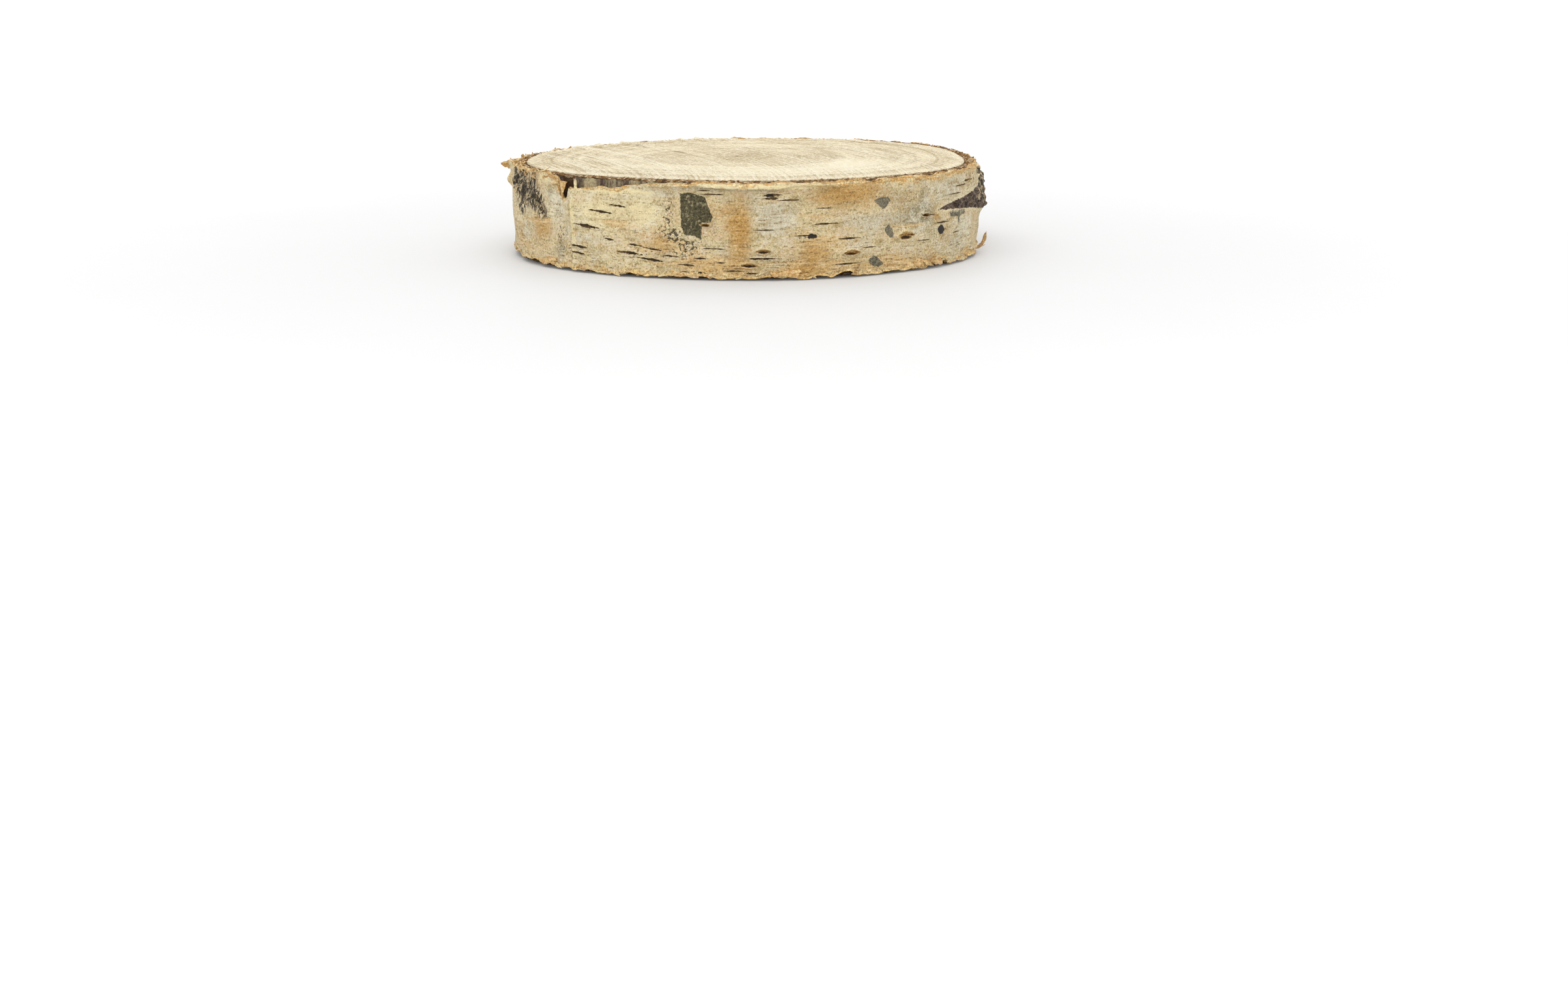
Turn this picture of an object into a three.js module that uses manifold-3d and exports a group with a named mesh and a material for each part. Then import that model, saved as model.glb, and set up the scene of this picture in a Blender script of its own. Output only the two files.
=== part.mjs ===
// A slice sawn across a young birch trunk: a disc of pale wood, the brown inner bark round it and the thin
// papery outer bark with its knots, its peeled strip and its loose flakes. Millimetres, +Z up. The slice lies
// on its lower sawn face. Angles are in degrees, anticlockwise from +X as seen from above; -90 is the front.
import * as THREE from "three";
import { mergeVertices } from "three/addons/utils/BufferGeometryUtils.js";
import Module from "manifold-3d";

// Driving dimensions
const THICKNESS = 20; // from sawn face to sawn face
const WOOD_RADIUS = 48; // mean radius of the wood
const BARK_THICKNESS = 3.4; // mean, both barks together
const PAPER_THICKNESS = 1.0; // outer bark
const LAYER_GAP = 0.25; // drying crack between the layers
const BARK_SHRINKAGE = 0.2; // how far the inner bark has dried back from the sawn faces

// How far the trunk's section leaves a circle. Each lobe repeats `waves` times round it and peaks at `at`.
const WOOD_LOBES = [
  { waves: 1, swell: 1.0, at: 20 },
  { waves: 2, swell: 1.4, at: 34 },
  { waves: 3, swell: 0.9, at: -54 },
  { waves: 4, swell: 0.35, at: 42 },
  { waves: 5, swell: 0.3, at: -25 },
  { waves: 6, swell: 0.35, at: -21 },
];
const BARK_LOBES = [
  { waves: 1, swell: 0.7, at: -74 },
  { waves: 2, swell: 0.55, at: 74 },
  { waves: 3, swell: 0.2, at: 28 },
];

// Lumps of the outer bark: a branch scar with a hollow under it, rough old bark, small knobs and the
// swellings over buried twigs.
const LUMPS = [
  { at: -8, height: 11.4, across: 5.5, tall: 3.4, swell: 1.8 },
  { at: -3, height: 4.5, across: 7.0, tall: 4.0, swell: -1.0 },
  { at: -160, height: 14, across: 6.5, tall: 6.0, swell: 0.7 },
  { at: -173, height: 15.8, across: 2.0, tall: 1.5, swell: 1.4 },
  { at: -176, height: 19.0, across: 2.6, tall: 1.6, swell: 1.2 },
  { at: -47, height: 19.0, across: 2.2, tall: 1.6, swell: 0.6 },
  { at: -57, height: 18.6, across: 2.0, tall: 1.8, swell: 0.5 },
  { at: 47, height: 12.0, across: 7.0, tall: 4.0, swell: 0.5 },
  { at: 72, height: 7.5, across: 5.5, tall: 3.2, swell: 1.2 },
  { at: 126, height: 12.5, across: 4.5, tall: 3.0, swell: 1.0 },
];

// Where the outer bark has torn away below the upper face, with a deeper notch at its left end.
const STRIP = { from: -133, to: -104, deep: 1.9, fade: 2.0 };
const NOTCH = { at: -135.5, width: 4.2, deep: 4.6 };
// Where the torn edge of the outer bark has rolled outwards into a lip.
const LIP = { from: -108, to: -70, fade: 6, swell: 0.55, below: 1.3, tall: 0.9 };
// The crease that runs from the notch to the lower face: the sheet right of it stands proud.
const CREASE = { at: -133.5, step: 0.45, fade: 2.5, runOut: 34 };
// The lower edge flares a little, as the saw left it.
const FLARE = { swell: 0.35, tall: 1.6 };
// The edges are worn off at the left end of the foot and at the right end of the upper rim.
const WORN_FOOT = { from: -176, to: -142, fade: 8, depth: 0.6 };
const WORN_RIM = { from: 6, to: 30, fade: 10, depth: 0.7 };
// Teeth of the torn edges, and long swells of the bark's surface.
const RAGGED = [
  { waves: 23, swell: 0.16, at: 5 },
  { waves: 41, swell: 0.12, at: 2 },
  { waves: 58, swell: 0.1, at: 3 },
];
const RAGGED_DEPTH = 0.38; // mean depth of the torn edges
const SURFACE_SWELLS = [
  { waves: 9, swell: 0.14, at: 12, rise: 0.22 },
  { waves: 14, swell: 0.12, at: 7, rise: -0.31 },
  { waves: 21, swell: 0.08, at: 4, rise: 0.47 },
];

// Flakes of loose bark. `way` is 1 for a flake that points up and -1 for one that hangs; `lean` is its angle
// to the wall at the root and `curl` what it bends by, in degrees; `point` is the share of its width lost at
// the tip.
const FLAKES = [
  // Beside the notch: a hanging curl and a flap folded outwards. At the left end: two tongues at the rim.
  { at: -137.6, height: 17.6, width: 3.2, length: 4.0, way: -1, lean: 14, curl: -16, point: 0.85 },
  { at: -142.5, height: 17.4, width: 4.2, length: 2.4, way: 1, lean: 24, curl: 28, point: 0.3 },
  { at: -176, height: 18.2, width: 4.2, length: 2.4, way: 1, lean: 32, curl: 20, point: 0.5 },
  { at: 173, height: 18.0, width: 8.0, length: 2.4, way: 1, lean: 8, curl: 4, point: 0.4 },
  // Along the foot, from left to right, with a sliver and a curl that point up.
  { at: -142, height: 2.6, width: 7.0, length: 2.0, way: -1, lean: 12, curl: 6, point: 0.2 },
  { at: -103, height: 2.2, width: 6.6, length: 1.9, way: -1, lean: 15, curl: 10, point: 0.25 },
  { at: -76.5, height: 3.0, width: 6.0, length: 2.7, way: -1, lean: 16, curl: 6, point: 0.2 },
  { at: -64, height: 0.9, width: 1.4, length: 1.7, way: 1, lean: 42, curl: -30, point: 0.6 },
  { at: -41, height: 2.6, width: 6.2, length: 2.3, way: -1, lean: 18, curl: 8, point: 0.35 },
  { at: -4.5, height: 0.9, width: 3.0, length: 4.2, way: 1, lean: 46, curl: -56, point: 0.5 },
  // A flap and a tongue at the back of the upper rim.
  { at: 84, height: 16.2, width: 8.0, length: 3.4, way: 1, lean: 26, curl: 10, point: 0.3 },
  { at: 95, height: 16.8, width: 4.0, length: 2.8, way: 1, lean: 30, curl: 16, point: 0.5 },
];
// Smaller flakes scattered along both rims of the sides that no flake above covers.
const SMALL_FLAKES = {
  seed: 7,
  from: 8,
  to: 164,
  count: 18,
  width: [2.2, 5.0],
  length: [1.4, 2.4],
  lean: [14, 30],
  curl: [-6, 20],
  point: [0.2, 0.7],
};
const FLAKE_THICKNESS = 0.62;
const FLAKE_ROOT = 0.5; // how deep a flake's root is sunk in the bark

// Facets
const COLUMNS = 240;
const BARK_ROWS = 10;
const FLAKE_STEPS = 4;

const COLOURS = { wood: 0xd8c39a, innerBark: 0x6e4c26, outerBark: 0xc8b68f };

const wasm = await Module();
wasm.setup();

// The sum of some lobes at an angle in radians.
function lobes(list, angle) {
  return list.reduce((sum, { waves, swell, at }) => {
    return sum + swell * Math.cos(waves * (angle - THREE.MathUtils.degToRad(at)));
  }, 0);
}

// The signed angle in degrees from `at` to an angle in radians, from -180 to 180.
function degreesFrom(at, angle) {
  return THREE.MathUtils.euclideanModulo(THREE.MathUtils.radToDeg(angle) - at + 180, 360) - 180;
}

// 1 between two angles in degrees, falling to 0 over `fade` degrees outside them.
function between(from, to, fade, angle) {
  const middle = (from + to) / 2;
  const outside = Math.abs(degreesFrom(middle, angle)) - (to - from) / 2;
  return 1 - THREE.MathUtils.smoothstep(outside, 0, fade);
}

const woodRadius = (angle) => WOOD_RADIUS + lobes(WOOD_LOBES, angle);
const barkRadius = (angle) => woodRadius(angle) + BARK_THICKNESS + lobes(BARK_LOBES, angle);
const paperInside = (angle) => barkRadius(angle) - PAPER_THICKNESS;

// How far the outer bark stands out from its mean face at an angle and a height.
function relief(angle, height) {
  const radius = barkRadius(angle);
  let out = 0;
  for (const { waves, swell, at, rise } of SURFACE_SWELLS) {
    out += swell * Math.cos(waves * (angle - THREE.MathUtils.degToRad(at)) + rise * height);
  }
  for (const lump of LUMPS) {
    const along = (THREE.MathUtils.degToRad(degreesFrom(lump.at, angle)) * radius) / lump.across;
    const up = (height - lump.height) / lump.tall;
    out += lump.swell * Math.exp(-along * along - up * up);
  }
  const lipUp = (height - (THICKNESS - LIP.below)) / LIP.tall;
  out += LIP.swell * between(LIP.from, LIP.to, LIP.fade, angle) * Math.exp(-lipUp * lipUp);
  const pastCrease = degreesFrom(CREASE.at, angle);
  const proud = THREE.MathUtils.smoothstep(pastCrease, -CREASE.fade / 2, CREASE.fade / 2);
  out += CREASE.step * proud * (1 - THREE.MathUtils.smoothstep(pastCrease, 0, CREASE.runOut));
  return out + FLARE.swell * Math.exp(-height / FLARE.tall);
}

const worn = ({ from, to, fade, depth }, angle) => depth * between(from, to, fade, angle);

// The depth of the torn edges below the upper face and above the lower one.
function upperTear(angle) {
  const along = THREE.MathUtils.clamp(degreesFrom(STRIP.from, angle) / (STRIP.to - STRIP.from), 0, 1);
  const strip = STRIP.deep * (1 - along);
  const torn = strip * between(STRIP.from, STRIP.to, STRIP.fade, angle);
  const fromNotch = (2 * degreesFrom(NOTCH.at, angle)) / NOTCH.width;
  const notch = NOTCH.deep * Math.exp(-(fromNotch ** 4));
  return RAGGED_DEPTH + lobes(RAGGED, angle) + worn(WORN_RIM, angle) + Math.max(torn, notch);
}
function lowerTear(angle) {
  return RAGGED_DEPTH + lobes(RAGGED, angle + 1) + worn(WORN_FOOT, angle);
}

// Moves each vertex of a geometry that was turned about +Z: place(angle, share, rise) gives the real radius
// and height from the unit ones that it was made with.
function reshape(geometry, place) {
  const position = geometry.getAttribute("position");
  const point = new THREE.Vector3();
  for (let i = 0; i < position.count; i++) {
    point.fromBufferAttribute(position, i);
    const share = Math.hypot(point.x, point.y);
    const angle = Math.atan2(point.y, point.x);
    const [radius, height] = place(angle, share, point.z);
    position.setXYZ(i, radius * Math.cos(angle), radius * Math.sin(angle), height);
  }
  return geometry;
}

// A ring of square section about +Z, from radius 1 to 2 and height 0 to 1, with rows on its outer wall.
function unitRing(rows) {
  const section = [new THREE.Vector2(1, 1), new THREE.Vector2(1, 0)];
  for (let row = 0; row <= rows; row++) {
    section.push(new THREE.Vector2(2, row / rows));
  }
  section.push(section[0].clone());
  return new THREE.LatheGeometry(section, COLUMNS).rotateX(Math.PI / 2);
}

// The closed solid of a geometry, and the geometry of a solid.
function solidOf(geometry) {
  const bare = new THREE.BufferGeometry().setAttribute("position", geometry.getAttribute("position"));
  const merged = mergeVertices(bare.setIndex(geometry.index), 1e-4);
  const mesh = new wasm.Mesh({
    numProp: 3,
    vertProperties: new Float32Array(merged.getAttribute("position").array),
    triVerts: new Uint32Array(merged.index.array),
  });
  return new wasm.Manifold(mesh);
}
function geometryOf(solid) {
  const { vertProperties, triVerts } = solid.getMesh();
  const geometry = new THREE.BufferGeometry();
  geometry.setAttribute("position", new THREE.BufferAttribute(vertProperties, 3));
  geometry.setIndex(new THREE.BufferAttribute(triVerts, 1));
  geometry.computeVertexNormals();
  return geometry;
}

function woodDisc() {
  const disc = new THREE.CylinderGeometry(1, 1, 1, COLUMNS).rotateX(Math.PI / 2).translate(0, 0, 0.5);
  return reshape(disc, (angle, share, rise) => [share * woodRadius(angle), rise * THICKNESS]);
}

function innerBarkRing() {
  return reshape(unitRing(1), (angle, share, rise) => {
    const inside = woodRadius(angle) + LAYER_GAP;
    const outside = paperInside(angle) - LAYER_GAP;
    const height = THREE.MathUtils.lerp(BARK_SHRINKAGE, THICKNESS - BARK_SHRINKAGE, rise);
    return [THREE.MathUtils.lerp(inside, outside, share - 1), height];
  });
}

function outerBarkSheet() {
  return reshape(unitRing(BARK_ROWS), (angle, share, rise) => {
    const height = THREE.MathUtils.lerp(lowerTear(angle), THICKNESS - upperTear(angle), rise);
    const outside = barkRadius(angle) + relief(angle, height);
    return [THREE.MathUtils.lerp(paperInside(angle), outside, share - 1), height];
  });
}

// A flake: a thin strip that leaves the bark's face at `lean`, bends by `curl` and narrows to its tip.
function flake({ at, height, width, length, way, lean, curl, point }) {
  const strip = new THREE.BoxGeometry(width, FLAKE_THICKNESS, length, 2, 1, FLAKE_STEPS);
  strip.translate(0, 0, length / 2);
  const position = strip.getAttribute("position");
  const step = length / FLAKE_STEPS;
  const spine = [new THREE.Vector2(0, 0)];
  for (let i = 0; i < FLAKE_STEPS; i++) {
    const bend = THREE.MathUtils.degToRad(lean + (curl * (i + 0.5)) / FLAKE_STEPS);
    spine.push(spine[i].clone().add(new THREE.Vector2(step * Math.sin(bend), step * Math.cos(bend))));
  }
  for (let i = 0; i < position.count; i++) {
    const share = position.getZ(i) / length;
    const centre = spine[Math.round(share * FLAKE_STEPS)];
    const bend = THREE.MathUtils.degToRad(lean + curl * share);
    const off = position.getY(i);
    position.setXYZ(
      i,
      position.getX(i) * (1 - point * share),
      centre.x + off * Math.cos(bend),
      way * (centre.y - off * Math.sin(bend)),
    );
  }
  if (way < 0) strip.index.array.reverse();
  const angle = THREE.MathUtils.degToRad(at);
  const out = barkRadius(angle) + relief(angle, height) - FLAKE_ROOT + FLAKE_THICKNESS / 2;
  // The strip's own +Y points away from the trunk once it is turned to its angle.
  return strip.rotateZ(angle - Math.PI / 2).translate(out * Math.cos(angle), out * Math.sin(angle), height);
}

// A repeatable stream of numbers from 0 to 1.
function seededNumbers(seed) {
  let state = seed;
  return () => {
    state = (state * 48271) % 2147483647;
    return state / 2147483647;
  };
}

function smallFlakes() {
  const next = seededNumbers(SMALL_FLAKES.seed);
  const draw = ([low, high]) => THREE.MathUtils.lerp(low, high, next());
  const spacing = (SMALL_FLAKES.to - SMALL_FLAKES.from) / SMALL_FLAKES.count;
  return Array.from({ length: SMALL_FLAKES.count }, (_, i) => {
    const way = i % 2 ? 1 : -1;
    const length = draw(SMALL_FLAKES.length);
    return {
      at: SMALL_FLAKES.from + spacing * (i + next()),
      height: way > 0 ? THICKNESS - length - 0.2 : length + 0.4,
      width: draw(SMALL_FLAKES.width),
      length,
      way,
      lean: draw(SMALL_FLAKES.lean),
      curl: draw(SMALL_FLAKES.curl),
      point: draw(SMALL_FLAKES.point),
    };
  });
}

function outerBark() {
  return [...FLAKES, ...smallFlakes()].reduce((bark, one) => {
    return bark.add(solidOf(flake(one)));
  }, solidOf(outerBarkSheet()));
}

function named(name, geometry, color, roughness) {
  const mesh = new THREE.Mesh(geometry, new THREE.MeshStandardMaterial({ color, roughness, metalness: 0 }));
  mesh.name = name;
  return mesh;
}

const slice = new THREE.Group();
slice.add(named("wood", woodDisc(), COLOURS.wood, 0.85));
slice.add(named("inner_bark", innerBarkRing(), COLOURS.innerBark, 0.9));
slice.add(named("outer_bark", geometryOf(outerBark()), COLOURS.outerBark, 0.7));

// The flakes stand out unevenly, so the slice is set with the middle of its box over the origin.
const middle = new THREE.Box3().setFromObject(slice).getCenter(new THREE.Vector3());
for (const layer of slice.children) {
  layer.geometry.translate(-middle.x, -middle.y, 0);
}

export default slice;
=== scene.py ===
"""A slice sawn across a young birch trunk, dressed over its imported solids.

Shapes are worked out in millimetres about the trunk's own middle and moved into the row frame, in metres, at
the end. Angles are in degrees in the tables and in radians in the formulas, anticlockwise from +X seen from
above, and -90 is the front.
"""

from collections import namedtuple

import bpy
import numpy as np
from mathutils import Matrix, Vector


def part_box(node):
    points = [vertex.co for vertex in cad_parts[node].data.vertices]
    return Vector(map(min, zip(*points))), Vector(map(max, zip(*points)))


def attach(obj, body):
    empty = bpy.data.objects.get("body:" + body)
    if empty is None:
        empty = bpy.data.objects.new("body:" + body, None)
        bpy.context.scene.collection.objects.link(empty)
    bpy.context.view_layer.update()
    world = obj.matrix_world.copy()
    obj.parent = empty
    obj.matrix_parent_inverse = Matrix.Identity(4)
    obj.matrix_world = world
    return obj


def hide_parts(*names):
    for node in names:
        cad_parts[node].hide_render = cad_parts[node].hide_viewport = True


bl_info = {
    "name": "Birch Slice",
    "version": (1, 0, 0),
    "blender": (4, 5, 0),
    "location": "3D View > Sidebar > Birch Slice",
    "description": "Builds a sawn birch slice: ringed wood, grained inner bark and flaking outer bark",
    "category": "Add Mesh",
}

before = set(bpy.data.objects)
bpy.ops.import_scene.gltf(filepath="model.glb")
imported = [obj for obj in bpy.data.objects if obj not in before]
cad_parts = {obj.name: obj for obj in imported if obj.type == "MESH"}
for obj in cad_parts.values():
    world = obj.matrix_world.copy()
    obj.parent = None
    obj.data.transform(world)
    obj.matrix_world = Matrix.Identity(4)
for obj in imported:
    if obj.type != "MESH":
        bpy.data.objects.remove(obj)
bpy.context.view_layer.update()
WOOD_LOW, WOOD_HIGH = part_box("wood")

MM = 0.001
# Edges that turn by more than this many degrees stay sharp.
SHARP_EDGE = 50
# The middle of a noise from 0 to 1, and how many cells the noises repeat after.
NOISE_MIDDLE = 0.5
NOISE_ROWS, CELL_ROWS, SAW_CELLS = 256, 64, 4096


def named(kind, *rows):
    """A table of named tuples from rows of plain values."""
    return tuple(kind(*row) for row in rows)


# The trunk's section: waves round the trunk, swell in mm, angle of a crest.
WOOD_LOBES = (
    (1, 1, 20), (2, 1.4, 34), (3, 0.9, -54), (4, 0.35, 42), (5, 0.3, -25), (6, 0.35, -21),
)
BARK_LOBES = ((1, 0.7, -74), (2, 0.55, 74), (3, 0.2, 28))
RAGGED = ((23, 0.16, 5), (41, 0.12, 2), (58, 0.1, 3))
RAGGED_DEPTH = 0.38
FOOT_LIFT = 0.22
# How far the foot flares out, and the height over which the flare fades, in mm.
FLARE, FLARE_TALL = 0.35, 1.6
# The least height over the floor of the outer bark, the inner bark and a flake's spine, in mm.
OUTER_CLEAR, INNER_CLEAR, FLAKE_CLEAR = 0.02, 0.03, 0.12

# Long swells of the bark: waves, swell, angle of a crest, turn of the crest per mm of height.
SURFACE_SWELLS = ((9, 0.14, 12, 0.22), (14, 0.12, 7, -0.31), (21, 0.08, 4, 0.47))

Lump = namedtuple("Lump", "at height across tall swell")
LUMPS = named(
    Lump,
    (-8, 11.6, 5.5, 3.2, 1.5), (-3, 4.5, 7, 4, -1), (-6, 15.8, 4.5, 2.2, 0.9), (-5, 8.4, 4, 1.1, -0.4),
    (-4, 4.8, 6, 3.2, 1.2), (-6, 19.6, 6, 1.6, -0.8), (-160, 14, 6.5, 6, 0.7), (-173, 15.8, 2, 1.5, 1.4),
    (-176, 19, 2.6, 1.6, 1.2), (-47, 19, 2.2, 1.6, 0.6), (-57, 18.6, 2, 1.8, 0.5), (47, 12, 7, 4, 0.5),
    (72, 7.5, 5.5, 3.2, 1.2), (126, 12.5, 4.5, 3, 1),
)

# Stretches of the rim or the foot: angles, the degrees over which they fade at both ends, and a depth in mm.
Stretch = namedtuple("Stretch", "start stop fade depth")
WORN_FOOT = Stretch(-176, -142, 8, 0.6)
WORN_RIM = Stretch(6, 30, 10, 0.7)
STRIP = Stretch(-133, -104, 2.0, 2.5)
# The rolled lip, how far under the rim it lies and half its height, in mm.
LIP = Stretch(-108, -70, 6, 0.55)
LIP_DROP, LIP_TALL = 1.3, 0.9
NOTCH_AT, NOTCH_WIDTH, NOTCH_DEPTH = -135.5, 4.2, 4.6
CREASE_AT, CREASE_STEP, CREASE_FADE, CREASE_RUN_OUT = -133.5, 0.45, 2.5, 34

# Marks on the outer bark: angle, height, length and tallness in mm.
Mark = namedtuple("Mark", "at height long tall")
LENTICELS = named(
    Mark,
    (-124.2, 13, 5.4, 0.5), (-119.9, 14.4, 4.2, 0.43), (-127.9, 9.8, 6.8, 0.68), (-122.1, 7.5, 2.4, 0.4),
    (-130.5, 5.4, 4.6, 0.5), (-131.3, 4.1, 4.4, 0.43), (-118.9, 5, 1.6, 0.36), (-115.2, 6.6, 4, 0.43),
    (-116.7, 5, 5.6, 0.61), (-111.2, 3.8, 6.2, 0.5), (-99.8, 4.4, 3.4, 0.32), (-95.2, 3.6, 2, 0.29),
    (-98.7, 18.2, 3, 0.29), (-97, 17.4, 5.5, 0.29), (-85.6, 10.3, 5, 0.26), (-71, 11.2, 6.6, 0.35),
    (-65.5, 8, 5.8, 0.35), (-85.8, 4.5, 8, 0.38), (-66.2, 2.9, 7.5, 0.29), (-83.4, 17.3, 4.4, 0.52),
    (-83.9, 16.6, 3.6, 0.41), (-79.5, 16.2, 5.4, 0.35), (-41.9, 11.3, 4.6, 0.35), (-37, 9.4, 6.2, 0.32),
    (-28, 16.4, 7, 0.29), (-31, 14.9, 6.5, 0.24), (-24, 17.2, 5, 0.46), (-110.5, 5.9, 4.5, 0.36),
    (-106.5, 4.7, 3.6, 0.36), (-103, 3, 4, 0.36), (-92, 2, 5, 0.32), (-88, 1.5, 3.4, 0.35),
    (-96.5, 6.4, 5, 0.24), (-71.5, 14.4, 4, 0.24), (-60, 5.9, 4, 0.24), (-44, 6.2, 5, 0.24),
    (-31, 6.8, 4.2, 0.24), (-101, 1.6, 6, 0.43), (-76, 9, 5.6, 0.29),
)
EYES = named(
    Mark,
    (-98.5, 11.2, 2.4, 0.7), (-85.5, 6, 3.2, 1), (-64.7, 5.1, 4, 1.2), (-88.7, 3.1, 4, 0.9),
    (-49.3, 7.6, 4.4, 1.9), (-43.2, 11.4, 2.4, 0.7),
)
BLACK_SPOTS = named(
    Mark,
    (-74.4, 8.8, 2.4, 1.1), (-37.6, 7.9, 2.4, 2), (-84.2, 17.2, 2.2, 0.7),
)
# Where the marks lean, with their fall for each mm to the right, and where the grey patches are ashen.
LEANING = Stretch(-140, -108, 12, 0.1)
ASHEN = Stretch(-62, 170, 4, 1.0)
# Places where the torn foot is lifted: angle, half width in degrees, lift in mm.
FOOT_GAPS = (
    (-38, 3.4, 1), (-66, 2.2, 0.6), (-104, 3.6, 0.5), (-12, 3, 0.8), (40, 5, 0.7), (120, 4, 0.9),
)
# Outlines as angle and height: skin gone to dark grey, old fissured bark, and the scar of a branch.
GREY_PATCHES = (
    (
        (-104.3, 17.4), (-101.7, 17.7), (-98.3, 16.8), (-98, 15.5), (-96.8, 12.7), (-97.3, 11.7),
        (-99.3, 11.6), (-99.5, 8.1), (-101, 8.8), (-103.4, 9.1), (-104.2, 10.8),
    ),
    (
        (-58.9, 15.3), (-57.4, 15.9), (-55.2, 15.9), (-54.3, 15.2), (-55.3, 14.2), (-56.3, 13.4),
        (-57.4, 14.2),
    ),
    (
        (-55.9, 9.4), (-54.7, 10.3), (-53.8, 9.5), (-53, 8.3), (-53, 7.4), (-54, 7.4), (-55.6, 8.6),
    ),
    (
        (-60, 3.4), (-58.6, 4.3), (-57.5, 3.6), (-56, 2.4), (-56.1, 1.6), (-58.5, 1.8), (-60.1, 2.7),
    ),
    (
        (-33.8, 11.4), (-25.6, 11.2), (-24.8, 10.4), (-28.6, 10), (-28.9, 8.7), (-29.8, 8.6), (-29.7, 10),
        (-33.2, 10.2),
    ),
)
OLD_BARK = (
    (-166, 19.4), (-146.8, 20.3), (-146, 17), (-144.2, 14.4), (-142.5, 10.9), (-145.5, 10.8),
    (-148.5, 12.6), (-152, 12.2), (-154.6, 10.6), (-157.5, 13), (-160.5, 16),
)
# How far the ropes of the old bark lean, across in mm for each mm of height.
SLANT = (-0.14, 0.27, 0.0)
OLD_KNOT = (
    (-15, 19.8), (4, 18.8), (16, 17), (24, 12.5), (18, 9.6), (6, 9.2), (-8, 10.5), (-14, 14), (-13, 17),
)
BRANCH_SCAR = (
    (-38.4, 12), (-34, 13), (-30, 13.6), (-25, 13.9), (-17, 14.9), (-9, 15.4), (1, 15.5), (7, 13),
    (4, 9.5), (-7, 9.4), (-20, 10.9), (-33, 11.8),
)
# Soft fields of the bark, by the names that its material reads: angle, height, half length, half tallness and
# strength.
Field = namedtuple("Field", "at height across tall strength")
SOFT_FIELDS = {
    "stain": named(
        Field,
        (-109, 7, 2, 2.4, 0.7), (-90.7, 10, 2.8, 7, 1), (-66, 17, 9.5, 3.4, 0.95),
        (-74, 5.8, 4.4, 3, 0.75), (-144, 8.2, 4.6, 3.2, 0.75), (-62, 2.5, 12, 2.4, 0.35),
        (-117, 11, 9, 5, 0.2), (-96, 14, 3.6, 3, 0.4), (-98, 3, 8, 2, 0.45), (-39, 11, 2, 1.8, 0.7),
        (-38, 18.8, 2.6, 1.2, 0.6), (-78, 1.6, 5, 1.6, 0.6), (20, 6, 8, 6, 0.6), (58, 12, 12, 5, 0.8),
        (96, 5, 9, 5, 0.7), (135, 10, 4, 9, 0.9), (162, 6, 9, 6, 0.6),
    ),
    "bloom": named(
        Field,
        (-58, 11.4, 11, 2, 0.9), (-83, 12.5, 5, 4.5, 1), (-26, 7, 10, 4.5, 0.8), (-32, 16.5, 9, 3.4, 0.9),
        (-139, 13, 4, 4.4, 1), (-80, 3, 7, 2.5, 0.6), (-152, 6.5, 4, 4, 0.7), (-128, 7.5, 7, 2.2, 0.6),
        (-110, 17.2, 5, 0.9, 0.9), (-62, 6.4, 6, 2.6, 0.6), (-94, 6.4, 3, 2.4, 0.6), (35, 12, 10, 5, 0.8),
        (78, 15, 9, 4, 0.7), (110, 13, 9, 5, 0.9), (148, 15, 8, 4, 0.8), (176, 12, 6, 5, 0.6),
    ),
    # Olive-grey, partly a real tint and partly painted shade: under the rolled lip and beside the crease.
    "shade": named(
        Field,
        (-43, 11, 6, 2.4, 0.6), (-46, 12.5, 10, 5, 0.5), (-34, 5, 9, 3, 0.4), (-108, 5, 7, 2, 0.35),
        (-137, 4.6, 2, 3, 0.9), (-135, 9, 0.5, 4, 0.5), (-98, 18.5, 7, 0.7, 0.8),
        (-113, 17.6, 1.8, 0.6, 0.8), (-85, 18.6, 5.5, 0.35, 1), (-88, 15.6, 3, 2.2, 0.4),
        (-80, 14.5, 5, 2, 0.5), (-44, 15, 1.6, 3, 0.5), (-54, 16.5, 6, 2.4, 0.4),
        (-140.5, 16, 1.6, 2.4, 0.7), (-50, 3.5, 8, 2, 0.4), (48, 8, 3, 6, 0.6), (104, 8, 4, 6, 0.6),
        (158, 12, 3, 5, 0.6),
    ),
    "cream": named(
        Field,
        (-122, 14, 10, 4, 0.25), (-92, 19.4, 9.5, 0.9, 1), (-78, 18.8, 7, 0.5, 0.9),
        (-70, 19.3, 6, 0.6, 0.6), (-143, 18.6, 3, 1.4, 0.8), (-132.4, 8, 0.6, 7, 1),
        (-120, 17.4, 9, 0.7, 0.7), (-125, 12, 8, 4.5, 0.6), (-112, 13.5, 5, 4, 0.55),
        (-120, 3.5, 9, 2.5, 0.5), (-140, 12, 3, 4, 0.5), (-156, 7, 4, 5, 0.5), (-24, 15, 6, 4, 0.5),
        (-22, 6, 8, 4, 0.4), (-71, 11.5, 4, 2, 0.3),
    ),
    "speckle": named(
        Field,
        (-106.8, 13.4, 1.5, 3.6, 0.7), (-106.4, 9.5, 2.2, 0.9, 1.4), (-105.6, 8, 2.4, 0.5, 1.4),
        (-102.9, 6.8, 1.9, 1.4, 1.5), (-108.5, 12, 2.4, 4, 0.35), (-76, 9, 2.4, 1, 0.8),
        (-100, 5.6, 6, 2, 0.55), (-137, 7.5, 2.2, 4.5, 0.7), (-20, 17, 5, 2, 0.8),
        (-114, 4.6, 5, 1.4, 0.6), (30, 9, 4, 4, 0.8), (88, 9, 5, 3, 0.8), (118, 6, 3, 4, 0.8),
        (152, 9, 4, 3, 0.7),
    ),
}
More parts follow.
